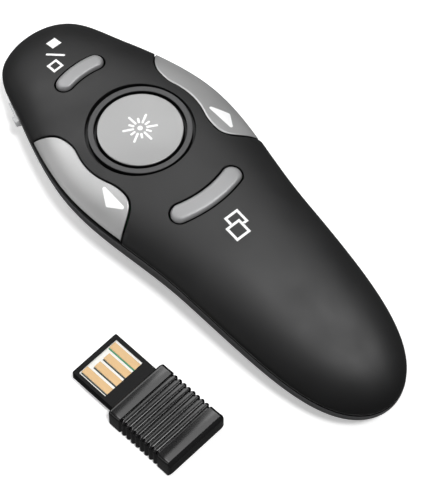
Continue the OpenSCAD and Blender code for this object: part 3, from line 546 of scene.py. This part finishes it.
# ---- Keys, ring and button ----
def fillet_depth(distance, r):
    """How deep a rounded edge of radius r lies, at a distance from the edge."""
    return r - np.sqrt(np.clip(r ** 2 - np.clip(r - distance, 0, r) ** 2, 0, None))


def wing_key(side):
    """A key's cap on a grid of stations along its inner edge and of steps from there to the seam, in the
    skin's own station and section angles; both edges are rounded, and the wall goes in from them. The
    gap widens round the rear lobe. The flange and the post under it are in the solid alone."""
    gap = np.interp(WING_EDGE[:, 1], [6.0, 13.0], [KEY_GAP + 0.2, KEY_GAP])
    edge = WING_EDGE - side_step(WING_EDGE) * gap[:, None]
    inside = edge[np.abs(edge[:, 0]) < half_w(edge[:, 1]) - 0.02]
    rows, cols = 90, 44
    edge = smoothed(inside, 0.0, 0.05)
    edge = edge[np.linspace(0, len(edge) - 1, rows).astype(int)]
    v0 = section_angle(edge[:, 0], edge[:, 1])[:, None]
    v1 = 80.0
    t0 = station(edge[:, 1])[:, None]
    k = (1 - np.cos(np.linspace(0, np.pi, cols))) / 2
    k = 0.75 * k + 0.25 * np.linspace(0, 1, cols)
    ends = station(edge[[0, -1], 1])
    t1 = np.linspace(ends[0], ends[1], rows)[:, None]
    v = v0 + (np.maximum(v1, v0) - v0) * k
    t = t0 + (t1 - t0) * k ** 1.5
    flush = top_point(t, v)
    border = np.concatenate([flush[:, 0], flush[:, -1]])
    gap = np.linalg.norm(flush[:, :, None] - border[None, None], axis=-1).min(-1)
    outer = top_point(t, v, fillet_depth(gap, 0.2) + 0.02)
    lean = np.clip(k, 0, 1)[None, :, None] ** 0.8 * np.pi / 2
    inward = np.concatenate([-np.sin(lean), 0 * lean, -np.cos(lean)], -1)
    inner = outer + 1.5 * inward
    grid = np.concatenate([outer, inner[:, ::-1]], 1) * (side, 1, 1)
    return solid(grid, caps=True)


for side, name in ((1, "page_right_key"), (-1, "page_left_key")):
    cap = piece(name + "_cap", wing_key(side), key_silver, name + "_body", name, crease=50)
    # Painted shade: the cap's walls more than 0.45 mm under the skin take the black, as the dark gap round
    # the key, and as its bare wall
    paint_gap_shade(cap, lambda x, y, z: float(top_z(min(x, half_w(y) - 0.01), y)) - z, 0.45)


def arc_key(way, r, half_a, width):
    """A pillow along an arc about the ring: its top rises over the skin as the square root of one less
    the distance from its spine to the sixth; it goes straight down at its edge. The screen key stands
    higher. The flange and the post under it are in the solid alone."""
    proud, sink, depth = 0.55 if way < 0 else 0.8, 0.35, 2.4
    centre_half = r * math.radians(half_a)
    end = centre_half + width / 2
    s = end * np.sin(np.radians(np.linspace(-90, 90, 91)))[:, None]
    q = np.sin(np.radians(np.linspace(-90, 90, 41)))[None, :]
    beyond = np.maximum(0, np.abs(s) - centre_half)
    half = np.sqrt(np.maximum(0, (width / 2) ** 2 - beyond ** 2))
    across = q * half
    rho = np.clip(np.sqrt(across ** 2 + beyond ** 2) / (width / 2), 0, 1)
    d, a = r + way * across, s / r
    x, y = d * np.sin(a), RING_Y + way * d * np.cos(a)
    z = top_z(x, y) - sink + (proud + sink) * (1 - rho ** 6) ** 0.5
    upper = np.stack([x, y, z], -1)
    lower = np.stack([x, y, top_z(x, y) - depth], -1)[:, ::-1]
    return solid(np.concatenate([upper, lower], 1))


for name, sizes in (("screen_key", SCREEN_KEY), ("window_key", WINDOW_KEY)):
    cap = piece(name + "_cap", arc_key(**sizes), arc_silver, name + "_body", name, 60)
    # Painted shade: the walls more than 0.25 mm under the skin take the black, as the dark gap round the key,
    # and as its bare wall
    paint_gap_shade(cap, lambda x, y, z: float(top_z(x, y)) - z, 0.25)


def trim_ring():
    """A ring of square section with its two upper edges rounded."""
    r = 0.14
    inset, down = arc(r, 6)
    inner, outer = RING_R - RING_W, RING_R
    profile = [(inner, -SEAT_DEPTH), (outer, -SEAT_DEPTH)]
    profile += [(outer - i, -d) for i, d in zip(inset, down)]
    profile += [(inner + i, -d) for i, d in zip(inset[::-1], down[::-1])]
    return solid(ring_frame(revolved(profile, 200)), wrap_rows=True)


trim = piece("button_ring_trim", trim_ring(), ring_grey, "case", "button_ring")
# Painted shade: the ring's walls more than 0.16 mm under its face take the black, as the dark of the grooves
# about it
paint_gap_shade(trim, lambda x, y, z: float(ring_plane(x, y, 0)) - z, 0.16)


def round_button():
    """A shallow dome with a rounded shoulder, a skirt and a retaining flange. The post under it is in
    the solid alone."""
    rim, rise, skirt, r = BUTTON_RIM, BUTTON_RISE, 7.1, BUTTON_R + 0.1
    flat = r - rim
    sphere = (flat ** 2 + rise ** 2) / (2 * rise)
    x = flat * np.linspace(0, 1, 24)
    profile = [(a, rise - sphere + math.sqrt(sphere ** 2 - a ** 2)) for a in x]
    inset, down = arc(rim, 7)
    profile += [(r - i, -d) for i, d in zip(inset[::-1][1:], down[::-1][1:])]
    profile += [(r, -1.5), (BUTTON_R, -1.6), (BUTTON_R, -2.98), (9.6, -2.98), (9.6, -3.38),
                (skirt, -3.38), (skirt, -1.4), (0, -1.4)]
    return solid(ring_frame(revolved(profile, 200)), wrap_rows=True)


cap = piece("laser_button_cap", round_button(), button_silver,
            "laser_button_body", "laser_button")
# Painted shade: the shoulder and skirt more than 0.4 mm under the ring's face take the black, as the dark of
# the gap about the button
paint_gap_shade(cap, lambda x, y, z: float(ring_plane(x, y, 0)) - z, 0.4)


# ---- Printed marks ----
def skin_frame(p):
    """Points on the upper skin above a plan, and the skin's unit normals there."""
    h = 0.02
    z = top_z(p[..., 0], p[..., 1])
    dx = (top_z(p[..., 0] + h, p[..., 1]) - top_z(p[..., 0] - h, p[..., 1])) / (2 * h)
    dy = (top_z(p[..., 0], p[..., 1] + h) - top_z(p[..., 0], p[..., 1] - h)) / (2 * h)
    normal = np.stack([-dx, -dy, np.ones_like(dx)], -1)
    return np.concatenate([p, z[..., None]], -1), normal / np.linalg.norm(normal, axis=-1)[..., None]


def dome_frame(p):
    """Points on the round button's dome, which is given about its own axis, and their normals."""
    flat, rise = BUTTON_R + 0.1 - BUTTON_RIM, BUTTON_RISE
    sphere = (flat ** 2 + rise ** 2) / (2 * rise)
    x, y = p[..., 0], p[..., 1] - RING_Y
    z = rise - sphere + np.sqrt(sphere ** 2 - x ** 2 - y ** 2)
    point = ring_frame(np.stack([x, y, z], -1))
    normal = np.stack([x, y, z + sphere - rise], -1) / sphere
    centre = ring_frame(np.zeros(3))
    return point, ring_frame(normal) - centre


def printed(loops, surface_frame):
    """A film of ink: plan loops from the middle outwards, laid 0.03 mm over the surface and closed
    0.05 mm under it."""
    top, normal = surface_frame(loops)
    film = np.concatenate([top + INK_OVER * normal, (top - INK_UNDER * normal)[::-1]])
    return solid(film, wrap_rows=True)


def filled(outline, surface_frame):
    """A filled mark: its outline shrunk in steps to its middle."""
    outline = np.asarray(outline, float)
    middle = outline.mean(0)
    k = np.linspace(0, 1, 9)[:, None, None]
    return printed(middle + (outline - middle) * k, surface_frame)


def rounded_polygon(corners, r, steps=6):
    """A convex polygon's outline with its corners rounded to radius r, given anticlockwise."""
    corners = np.asarray(corners, float)
    points = []
    for k, p in enumerate(corners):
        a = corners[k - 1] - p
        b = corners[(k + 1) % len(corners)] - p
        a, b = a / np.linalg.norm(a), b / np.linalg.norm(b)
        half = math.acos(np.clip(a @ b, -1, 1)) / 2
        centre = p + (a + b) / np.linalg.norm(a + b) * r / math.sin(half)
        start, end = p + a * r / math.tan(half) - centre, p + b * r / math.tan(half) - centre
        a0, a1 = math.atan2(start[1], start[0]), math.atan2(end[1], end[0])
        a1 = a0 + (a1 - a0 + math.pi) % (2 * math.pi) - math.pi
        points.append(turned(np.degrees(np.linspace(a0, a1, steps)), r, centre))
    return even_loop(np.concatenate(points))


def even_loop(loop, spacing=0.12):
    """A closed outline resampled at even spacing."""
    loop = np.concatenate([loop, loop[:1]])
    length = np.concatenate([[0], np.cumsum(np.linalg.norm(np.diff(loop, axis=0), axis=1))])
    s = np.linspace(0, length[-1], max(24, int(length[-1] / spacing)), endpoint=False)
    return np.column_stack([np.interp(s, length, loop[:, k]) for k in (0, 1)])


def bar(a, b, width):
    """Outline of a straight bar between two plan points, with round ends."""
    a, b = np.array(a, float), np.array(b, float)
    ahead = (b - a) / np.linalg.norm(b - a)
    side = np.array([-ahead[1], ahead[0]]) * width / 2
    return rounded_polygon([a - side, b - side, b + side, a + side], width * 0.45)


def square(centre, size, r):
    """Outline of an upright square."""
    return rounded_rect(size, size, r) + np.array(centre)


def burst():
    """Twelve even rays about a dot, the mark of the light button."""
    centre = np.array([0.0, RING_Y])
    marks = [filled(turned(np.arange(0, 360, 15), 0.55, centre), dome_frame)]
    for k in range(12):
        a = math.radians(30 * k)
        ray = np.array([math.sin(a), math.cos(a)])
        reach = 3.6 if k % 2 == 0 else 2.5
        marks.append(filled(bar(centre + 1.2 * ray, centre + reach * ray, 0.5), dome_frame))
    return marks


def square_line(centre, size, width, surface_frame, hidden=None):
    """A line of even width along an upright square, with mitred corners; hidden is a square (middle,
    half its side) that it stops at."""
    path = even_loop(square(centre, size, 0.02), 0.08)
    if hidden:
        path = left_open(path, hidden)
    k = np.array([-0.5, 0.5])[:, None, None] * width
    sides = np.array(centre) + (path - centre) * (1 + 2 * k / size)
    if hidden is None:
        return printed(sides, surface_frame)
    top, normal = surface_frame(sides)
    upper, lower = top + INK_OVER * normal, top - INK_UNDER * normal
    return solid(np.stack([upper[0], upper[1], lower[1], lower[0]], 1), caps=True)


def left_open(outline, hidden):
    """The points of an outline that lie outside a square, from where it leaves it to where it enters."""
    (x0, y0), half = hidden
    out = (np.abs(outline[:, 0] - x0) > half) | (np.abs(outline[:, 1] - y0) > half)
    start = np.flatnonzero(out & ~np.roll(out, 1))[0]
    return np.roll(outline, -start, 0)[:out.sum()]


head_marks = [
    filled(square((1.44, 47.52), 2.25, 0.05), skin_frame),
    filled(bar((-1.67, 46.21), (0.8, 43.07), 0.5), skin_frame),
    square_line((-2.32, 42.36), 2.0, 0.5, skin_frame),
]
front_square, rear_square = ((-0.63, -11.5), 3.0), ((0.56, -9.55), 2.9)
tail_marks = [
    square_line(*front_square, MARK_LINE, skin_frame),
    square_line(*rear_square, MARK_LINE, skin_frame,
                hidden=(front_square[0], (front_square[1] + MARK_LINE) / 2)),
]
piece("screen_marks", joined(*head_marks), ink_white, "case")
piece("window_mark", joined(*tail_marks), ink_white, "case")
piece("burst_mark", joined(*burst()), ink_white, "laser_button_body")
arrow_left = rounded_polygon([(-13.39, 14.65), (-15.88, 10.2), (-13.49, 6.5)], 0.35)
arrow_right = rounded_polygon([(16.63, 10.76), (13.91, 15.11), (14.28, 6.9)], 0.35)
piece("arrow_left", filled(arrow_left, skin_frame), ink_white, "page_left_key_body")
piece("arrow_right", filled(arrow_right, skin_frame), ink_white, "page_right_key_body")


# ---- Lower shell and door ----
def lower_shell():
    """The belly's skin from seam to seam with a rounded edge, the step of the shadow gap, and the
    inner skin, as one loop for each station."""
    t = T_FINE[:, None]
    r = 0.3
    skin = base_point(t, V_FINE[None, :], soft=0.3)
    skin[..., 2] = np.minimum(skin[..., 2], seam_z(skin[..., 1]) - r)
    inset, down = arc(r, 5)

    def edge(side, off, drop):
        y = (HALF_LEN - off) * np.cos(np.radians(t))
        x = side * np.sin(np.radians(t)) * (girth(t) - off)
        return np.stack([x, y, seam_z(y) - drop], -1)

    steps = [(i, d) for i, d in zip(inset[1:], down[1:])]
    steps += [(REVEAL_DEPTH, 0.0), (REVEAL_DEPTH, 0.03 - REVEAL), (BASE_WALL, 0.03 - REVEAL)]
    right = np.concatenate([edge(1, o, d) for o, d in steps], 1)
    left = np.concatenate([edge(-1, o, d) for o, d in steps[::-1]], 1)
    inner = base_point(t, V_FINE[None, ::2][:, ::-1], BASE_WALL, BASE_WALL)
    return solid(np.concatenate([skin, right, inner, left], 1))


RIB = 1.2
BAY_REAR = BAY_FRONT - BAY_LEN
GARAGE_Y, GARAGE_LEN, GARAGE_TOP = 17.2, REC_LEN + PLUG_LEN + 0.5, REC_T + 0.5
SCREWS = [(10.8, 34.0), (-10.8, 34.0), (0.0, -42.0)]


def ribs():
    """Walls of the battery bay and of the receiver's garage, and the screw bosses."""
    half = REC_W / 2 + 0.25 + RIB
    made = block((-half, GARAGE_Y - RIB, 0.75), (half, GARAGE_Y + GARAGE_LEN + RIB, GARAGE_TOP + RIB))
    walls = [block((-20, BAY_FRONT, 0.75), (20, BAY_FRONT + RIB, BOARD_Z)),
             block((-20, BAY_REAR - RIB, 0.75), (20, BAY_REAR, BOARD_Z)),
             block((-20, 0, 7.5), (20, RIB, BOARD_Z)), block((-20, -20, 7.5), (20, -20 + RIB, BOARD_Z))]
    for x, y in SCREWS:
        walls.append(post(x, y, 2.9, 0.75, float(seam_z(np.array(y))) - 0.1))
    for wall in walls:
        made = carved(made, "UNION", wall)
    t = np.linspace(27, 147, 49)[:, None]
    core = base_point(t, np.linspace(-90, 90, 33)[None, :], BASE_WALL / 2, BASE_WALL / 2)
    return carved(made, "INTERSECT", solid(core, caps=True))


def slider_frame(points):
    """Points given on the slider's own axes: inwards, along the case and up, leaned to the skin."""
    slope = float(half_w(SLIDER_Y - 1) - half_w(SLIDER_Y + 1)) / 2
    seam, w = float(seam_z(np.array(SLIDER_Y))), float(half_w(SLIDER_Y))
    depth = seam + BELLY_OVER
    lean = -math.atan(w * SLIDER_BELOW / depth ** 2)
    inset = w * (1 - math.sqrt(1 - (SLIDER_BELOW / depth) ** 2))
    x, y, z = points[..., 0], points[..., 1], points[..., 2]
    x, z = x * math.cos(lean) + z * math.sin(lean), -x * math.sin(lean) + z * math.cos(lean)
    a = -math.atan(slope)
    x, y = x * math.cos(a) - y * math.sin(a), x * math.sin(a) + y * math.cos(a)
    return np.stack([x + inset - w, y + SLIDER_Y, z + seam - SLIDER_BELOW], -1)


def moved(thing, place):
    """The body with its points taken through a placing function."""
    points = np.empty(len(thing.data.vertices) * 3)
    thing.data.vertices.foreach_get("co", points)
    thing.data.vertices.foreach_set("co", place(points.reshape(-1, 3)).ravel())
    return thing


shell = carved(lower_shell(), "UNION", ribs())
pocket = [block((-REC_W / 2 - 0.25, GARAGE_Y, -1), (REC_W / 2 + 0.25, GARAGE_Y + GARAGE_LEN, GARAGE_TOP))]
for x, y in SCREWS:
    pocket.append(post(x, y, 2.05, -1, float(seam_z(np.array(y))) - 4.1))
shell = carved(shell, "DIFFERENCE", joined(*pocket))
shell = carved(shell, "DIFFERENCE", block((-DOOR_HALF_W, -60, -1), (DOOR_HALF_W, BAY_FRONT, DOOR_TOP + 0.08)))
shell = carved(shell, "DIFFERENCE", joined(*[
    lying(s * 5.25, 5.25 - 0.01, BAY_REAR, BAY_FRONT, 7.5) for s in (1, -1)]))
half = SLIDER_WINDOW / 2 + 0.15
tall = SLIDER_H / 2 + 0.15
window = rounded_block((-3, -half, -tall), (SLIDER_T + 0.15, half + SLIDER_TRAVEL, tall), 0.2)
window = moved(solid(window, caps=True), slider_frame)
shell = carved(shell, "DIFFERENCE", window)
shell = carved(shell, "DIFFERENCE", nose_bore())


def nose_bezel():
    """A ring about the lens, turned from a profile of (radius, distance along the case); it tapers to
    its front, where a lip stands before the lens."""
    grid = revolved([(1.45, 0), (2.9, 0), (2.9, 3.0), (2.2, 5.2), (WINDOW_R, 5.2), (WINDOW_R, 4.35),
                     (2.04, 4.35), (2.04, 3.39), (1.45, 3.39)], 96)
    lying_down = np.stack([grid[..., 0], grid[..., 2] + HALF_LEN - 7, grid[..., 1] + NOSE_Z], -1)
    return solid(lying_down, wrap_rows=True)


piece("nose_bezel_ring", nose_bezel(), bezel_black, "case", "nose_bezel")
case_base = piece("bottom_shell_skin", shell, case_grey, "case", "bottom_shell")
# Painted shade: the top of the lower shell's rounded edge and the ledge inside the shadow gap take the black,
# standing for the shade in the gap
paint_gap_shade(case_base, lambda x, y, z: z - float(seam_z(np.array(y))), -0.13)


def door():
    """The belly's skin behind the bay's front wall, trimmed at the door's edges, with thumb grooves. The
    two tongues that hold the door are in the solid alone."""
    t = T_FINE[T_FINE > float(station(BAY_FRONT)) - 3][:, None]
    v = np.linspace(-62, 62, 61)[None, :]
    skin = np.concatenate([base_point(t, v, soft=0.3), base_point(t, v[:, ::-1], 1.3, 1.3)], 1)
    edge = 0.16
    side = DOOR_HALF_W - DOOR_GAP
    trim = rounded_block((-side, -70, -3), (side, BAY_FRONT - DOOR_GAP, DOOR_TOP), edge, 1.2)
    made = carved(solid(skin, caps=True), "INTERSECT", solid(trim, caps=True))
    grooves = []
    for i in range(5):
        y = BAY_FRONT - 2.6 - 1.8 * i
        half = 6.2 - 0.45 * abs(i - 2)
        loop = rounded_block((-half, y - 0.42, -1), (half, y + 0.42, 0.42), 0.25, 0.4)
        grooves.append(solid(loop, caps=True))
    return carved(made, "DIFFERENCE", joined(*grooves))


piece("battery_door_skin", door(), case_grey, "battery_door_body", "battery_door")


# ---- Slider ----
def slider():
    """The plate with its raised nub at the rear, and the pin that carries the lever."""
    half, stem = SLIDER_WINDOW / 2, 0.9 - SLIDER_WINDOW / 2
    plate = rounded_block((-SLIDER_PROUD, -half, -1.0), (SLIDER_T, half, 1.0), 0.18, 0.2)
    nub = rounded_block((-SLIDER_PROUD - NUB_PROUD, stem - 0.85, -0.95), (0.5, stem + 0.85, 0.95), 0.25, 0.3)
    pin = rounded_block((0.4, stem - 0.7, -0.55), (2.4, stem + 0.7, 0.55), 0.1)
    made = carved(solid(plate, caps=True), "UNION", solid(nub, caps=True))
    made = carved(made, "UNION", solid(pin, caps=True))
    return moved(made, slider_frame)


piece("power_slider_knob", slider(), slider_white, "power_slider_body", "power_slider")


# ---- Receiver ----
def receiver_frame(points):
    """Points on the receiver's own axes, turned and put in place beside the case."""
    c, s = math.cos(RECEIVER_TURN), math.sin(RECEIVER_TURN)
    x, y = points[..., 0], points[..., 1]
    return np.stack([RECEIVER_AT[0] + x * c - y * s, RECEIVER_AT[1] + x * s + y * c, points[..., 2]], -1)


def receiver_body():
    """Rounded rectangles along its length. The front and rear bands climb as a power of the distance
    along them; between ribs the section shrinks by a narrow groove with soft shoulders, scalloped at the
    sides; a quarter circle rounds either end."""
    ys = np.concatenate([
        -FRONT_R * (1 - np.sin(np.radians(np.linspace(0, 90, 8))))[::-1],
        -np.arange(0.7, REC_LEN - REAR_R - 0.05, 0.05),
        -REC_LEN + REAR_R * (1 - np.sin(np.radians(np.linspace(0, 90, 10))))])
    back = -ys
    ribs_end = RIB_FRONT + RIB_COUNT * RIB_PITCH
    within = (back > RIB_FRONT - 0.3) & (back < ribs_end + 0.3)
    phase = (back - RIB_FRONT) / RIB_PITCH
    off = np.abs(phase - np.round(phase)) * RIB_PITCH
    notch = np.where(within, np.clip((0.24 - off) / 0.08, 0, 1), 0)
    shoulder = np.where(within, np.clip((0.42 - off) / 0.22, 0, 1) ** 2, 0)
    scallop = np.where(within, np.exp(-(off / 0.3) ** 2), 0)

    def rounding(distance, r):
        return np.where(distance < r, r - np.sqrt(np.clip(r ** 2 - (r - distance) ** 2, 0, None)), 0)

    ends = rounding(back, FRONT_R) + rounding(REC_LEN - back, REAR_R)
    front_climb = 0.24 * np.clip((back - 0.6) / (RIB_FRONT - 0.8), 0, 1) ** 3.2 * (back < RIB_FRONT)
    rear_climb = 0.28 * np.clip((back - ribs_end - 0.2) / (REC_LEN - 0.75 - ribs_end - 0.2), 0, 1) ** 3.5
    level = 0.28 - 0.1 * within
    bevel = np.clip((back - (REC_LEN - 0.75)) / 0.75, 0, 1)
    top_in = ends + level - front_climb - rear_climb + 0.3 * notch + 0.02 * shoulder + 0.6 * bevel ** 1.3
    side_in = ends + 0.42 * scallop + 0.15 * bevel ** 2
    low_in = ends + 0.3 * notch + 1.4 * bevel
    loops = []
    for k in range(len(ys)):
        w, z0, z1 = REC_W - 2 * side_in[k], low_in[k], REC_T - top_in[k]
        flat = rounded_rect(w, z1 - z0, 0.75, 7)
        loops.append(np.column_stack([flat[:, 0], np.full(len(flat), ys[k]), flat[:, 1] + (z0 + z1) / 2]))
    return solid(np.array(loops), caps=True)


body = receiver_body()
gap = 0.05
mouth = block((-PLUG_W / 2 - gap, -14, PLUG_Z - gap), (PLUG_W / 2 + gap, 1, PLUG_Z + PLUG_T + gap))
body = moved(carved(body, "DIFFERENCE", mouth), receiver_frame)
piece("receiver_case", body, gloss_black, "receiver", "receiver_shell")

plug_top = PLUG_Z + PLUG_T
frame_block = rounded_block((-PLUG_W / 2, -4, PLUG_Z), (PLUG_W / 2, PLUG_LEN, plug_top), 0.18, 0.35)
frame_block = solid(frame_block, caps=True)
opening = block((-5.15, 3.0, plug_top - 0.31), (5.15, PLUG_LEN - 0.95, plug_top + 1))
tunnel = block((-5.15, -5, plug_top - 1.1), (5.15, PLUG_LEN - 0.95, plug_top - 0.3))
frame_block = carved(carved(frame_block, "DIFFERENCE", opening), "DIFFERENCE", tunnel)
piece("plug_frame", moved(frame_block, receiver_frame), plug_black,
      "receiver", "receiver_frame")
board_top = plug_top - 0.3
board = solid(rounded_block((-5.1, -12, board_top - 0.8), (5.1, PLUG_LEN - 1.0, board_top), 0.05), caps=True)
piece("plug_board", moved(board, receiver_frame), board_white, "receiver", "receiver_board")
lands, land_shadow_lines, green_lines = [], [], []
for k, x in enumerate((-3.75, -1.25, 1.25, 3.75)):
    tip = PLUG_LEN - 0.95 - (0.25 if k in (0, 3) else 1.2)
    foot = board_top - 0.02
    land = rounded_block((x - 0.8, 3.02, foot), (x + 0.85, tip, board_top + 0.12), 0.05, 0.12)
    # A line down each land's left side; the dark ones are painted shadow of the land
    line = rounded_block((x - 1.14, 3.02, foot), (x - 0.82, tip - 0.1, board_top + 0.03), 0.02, 0.05)
    lands.append(solid(land, caps=True))
    (green_lines if k == 3 else land_shadow_lines).append(solid(line, caps=True))
piece("plug_contacts", moved(joined(*lands), receiver_frame), gold,
      "receiver", "receiver_contacts")
piece("plug_land_shadows", moved(joined(*land_shadow_lines), receiver_frame), land_shadow_dark, "receiver")
piece("plug_trace_green", moved(joined(*green_lines), receiver_frame), trace_green,
      "receiver")

# ---- Finishes of the CAD nodes that stay ----
STAYING = {
    "main_board": board_green, "radio_chip": chip_black, "crystal_can": tin, "slide_switch_body": tin,
    "slide_switch_lever": chip_black, "laser_barrel": brass, "laser_lens": lens_glass,
    "cell_left": cell_skin, "cell_right": cell_skin, "link_plate": tin,
    "positive_plate": tin, "negative_plate": tin, "spring_front": tin, "spring_rear": tin,
    "case_screws": screw_steel, "receiver_chip": chip_black,
}
for key in ("laser", "screen", "window", "left", "right"):
    STAYING["tact_body_" + key] = tin
    STAYING["tact_stem_" + key] = chip_black
for node, finish in STAYING.items():
    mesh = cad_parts[node].data
    mesh.materials.clear()
    mesh.materials.append(finish)

# ---- Floor, light and camera ----
floor_mesh = bpy.data.meshes.new("floor")
floor_mesh.from_pydata([(-4, -4, -2e-5), (4, -4, -2e-5), (4, 4, -2e-5), (-4, 4, -2e-5)], [], [(0, 1, 2, 3)])
floor = bpy.data.objects.new("floor", floor_mesh)
bpy.context.scene.collection.objects.link(floor)
paper = bpy.data.materials.new("matt_white_paper")
paper.use_nodes = True
sheet = paper.node_tree
sheet.nodes.clear()
# The backdrop is lifted to white as the camera sees it; the object's shadow stays on it
path = add(sheet, "ShaderNodeLightPath").outputs
lift = add(sheet, "ShaderNodeMapRange", {"Value": path["Is Camera Ray"], "To Min": 0.0, "To Max": 0.4})
tone = add(sheet, "ShaderNodeMix", {
    "Factor": path["Is Glossy Ray"], "A": linear("#f2f2f2"), "B": linear("#6e6e6e")}, data_type="RGBA")
matt = add(sheet, "ShaderNodeBsdfDiffuse", {"Color": tone.outputs["Result"], "Roughness": 1.0})
glow = add(sheet, "ShaderNodeEmission", {"Color": linear("#ffffff"), "Strength": lift.outputs["Result"]})
both = add(sheet, "ShaderNodeAddShader")
sheet.links.new(matt.outputs["BSDF"], both.inputs[0])
sheet.links.new(glow.outputs["Emission"], both.inputs[1])
add(sheet, "ShaderNodeOutputMaterial", {"Surface": both.outputs["Shader"]})
floor_mesh.materials.append(paper)

world = bpy.data.worlds.new("studio")
bpy.context.scene.world = world
world.use_nodes = True
sky = world.node_tree
sky.nodes.clear()
seen = add(sky, "ShaderNodeLightPath").outputs["Is Camera Ray"]
level = add(sky, "ShaderNodeMapRange", {"Value": seen, "To Min": 0.2, "To Max": 1.0})
backdrop = add(sky, "ShaderNodeBackground", {"Color": (1, 1, 1, 1), "Strength": level.outputs["Result"]})
add(sky, "ShaderNodeOutputWorld", {"Surface": backdrop.outputs["Background"]})


def aimed(thing, place, target):
    """Puts a lamp or camera at a place in millimetres, its -Z axis towards the target."""
    thing.location = Vector(place) * 0.001
    way = Vector(target) * 0.001 - thing.location
    thing.rotation_euler = way.to_track_quat("-Z", "Y").to_euler()
    bpy.context.scene.collection.objects.link(thing)
    return thing


def softbox(name, place, target, size, power):
    """A square soft light."""
    lamp = bpy.data.lights.new(name, "AREA")
    lamp.shape, lamp.size, lamp.size_y = "RECTANGLE", size[0] * 0.001, size[1] * 0.001
    lamp.energy = power
    return aimed(bpy.data.objects.new(name, lamp), place, target)


sun = bpy.data.lights.new("window_light", "SUN")
sun.energy, sun.angle = 1.7, math.radians(8)
day = aimed(bpy.data.objects.new("window_light", sun), (-112, -355, 920), (0, 0, 0))
day.visible_glossy = False
softbox("back_softbox", (50, 467, 520), (0, 0, 10), (740, 440), 2.05)
softbox("back_left_softbox", (-160, 460, 512), (0, 0, 10), (320, 440), 0.6)
softbox("back_right_softbox", (345, 300, 512), (0, 0, 10), (170, 300), 0.32)
strip_light = softbox("top_softbox", (205, -80, 640), (0, 0, 10), (220, 600), 3.2)
low_light = softbox("left_softbox", (-520, 340, 170), (0, 0, 10), (520, 160), 0.3)
strip_light.visible_diffuse = low_light.visible_diffuse = False

lens = bpy.data.cameras.new("view")
lens.sensor_fit, lens.sensor_width, lens.lens = "HORIZONTAL", 36.0, 248.9
lens.clip_start, lens.clip_end = 0.01, 20
camera = aimed(bpy.data.objects.new("view", lens), (-194.8, -229.4, 522.7), (0.92, -3.6, 2.37))
bpy.context.scene.camera = camera
bpy.context.scene.view_settings.view_transform = "Standard"
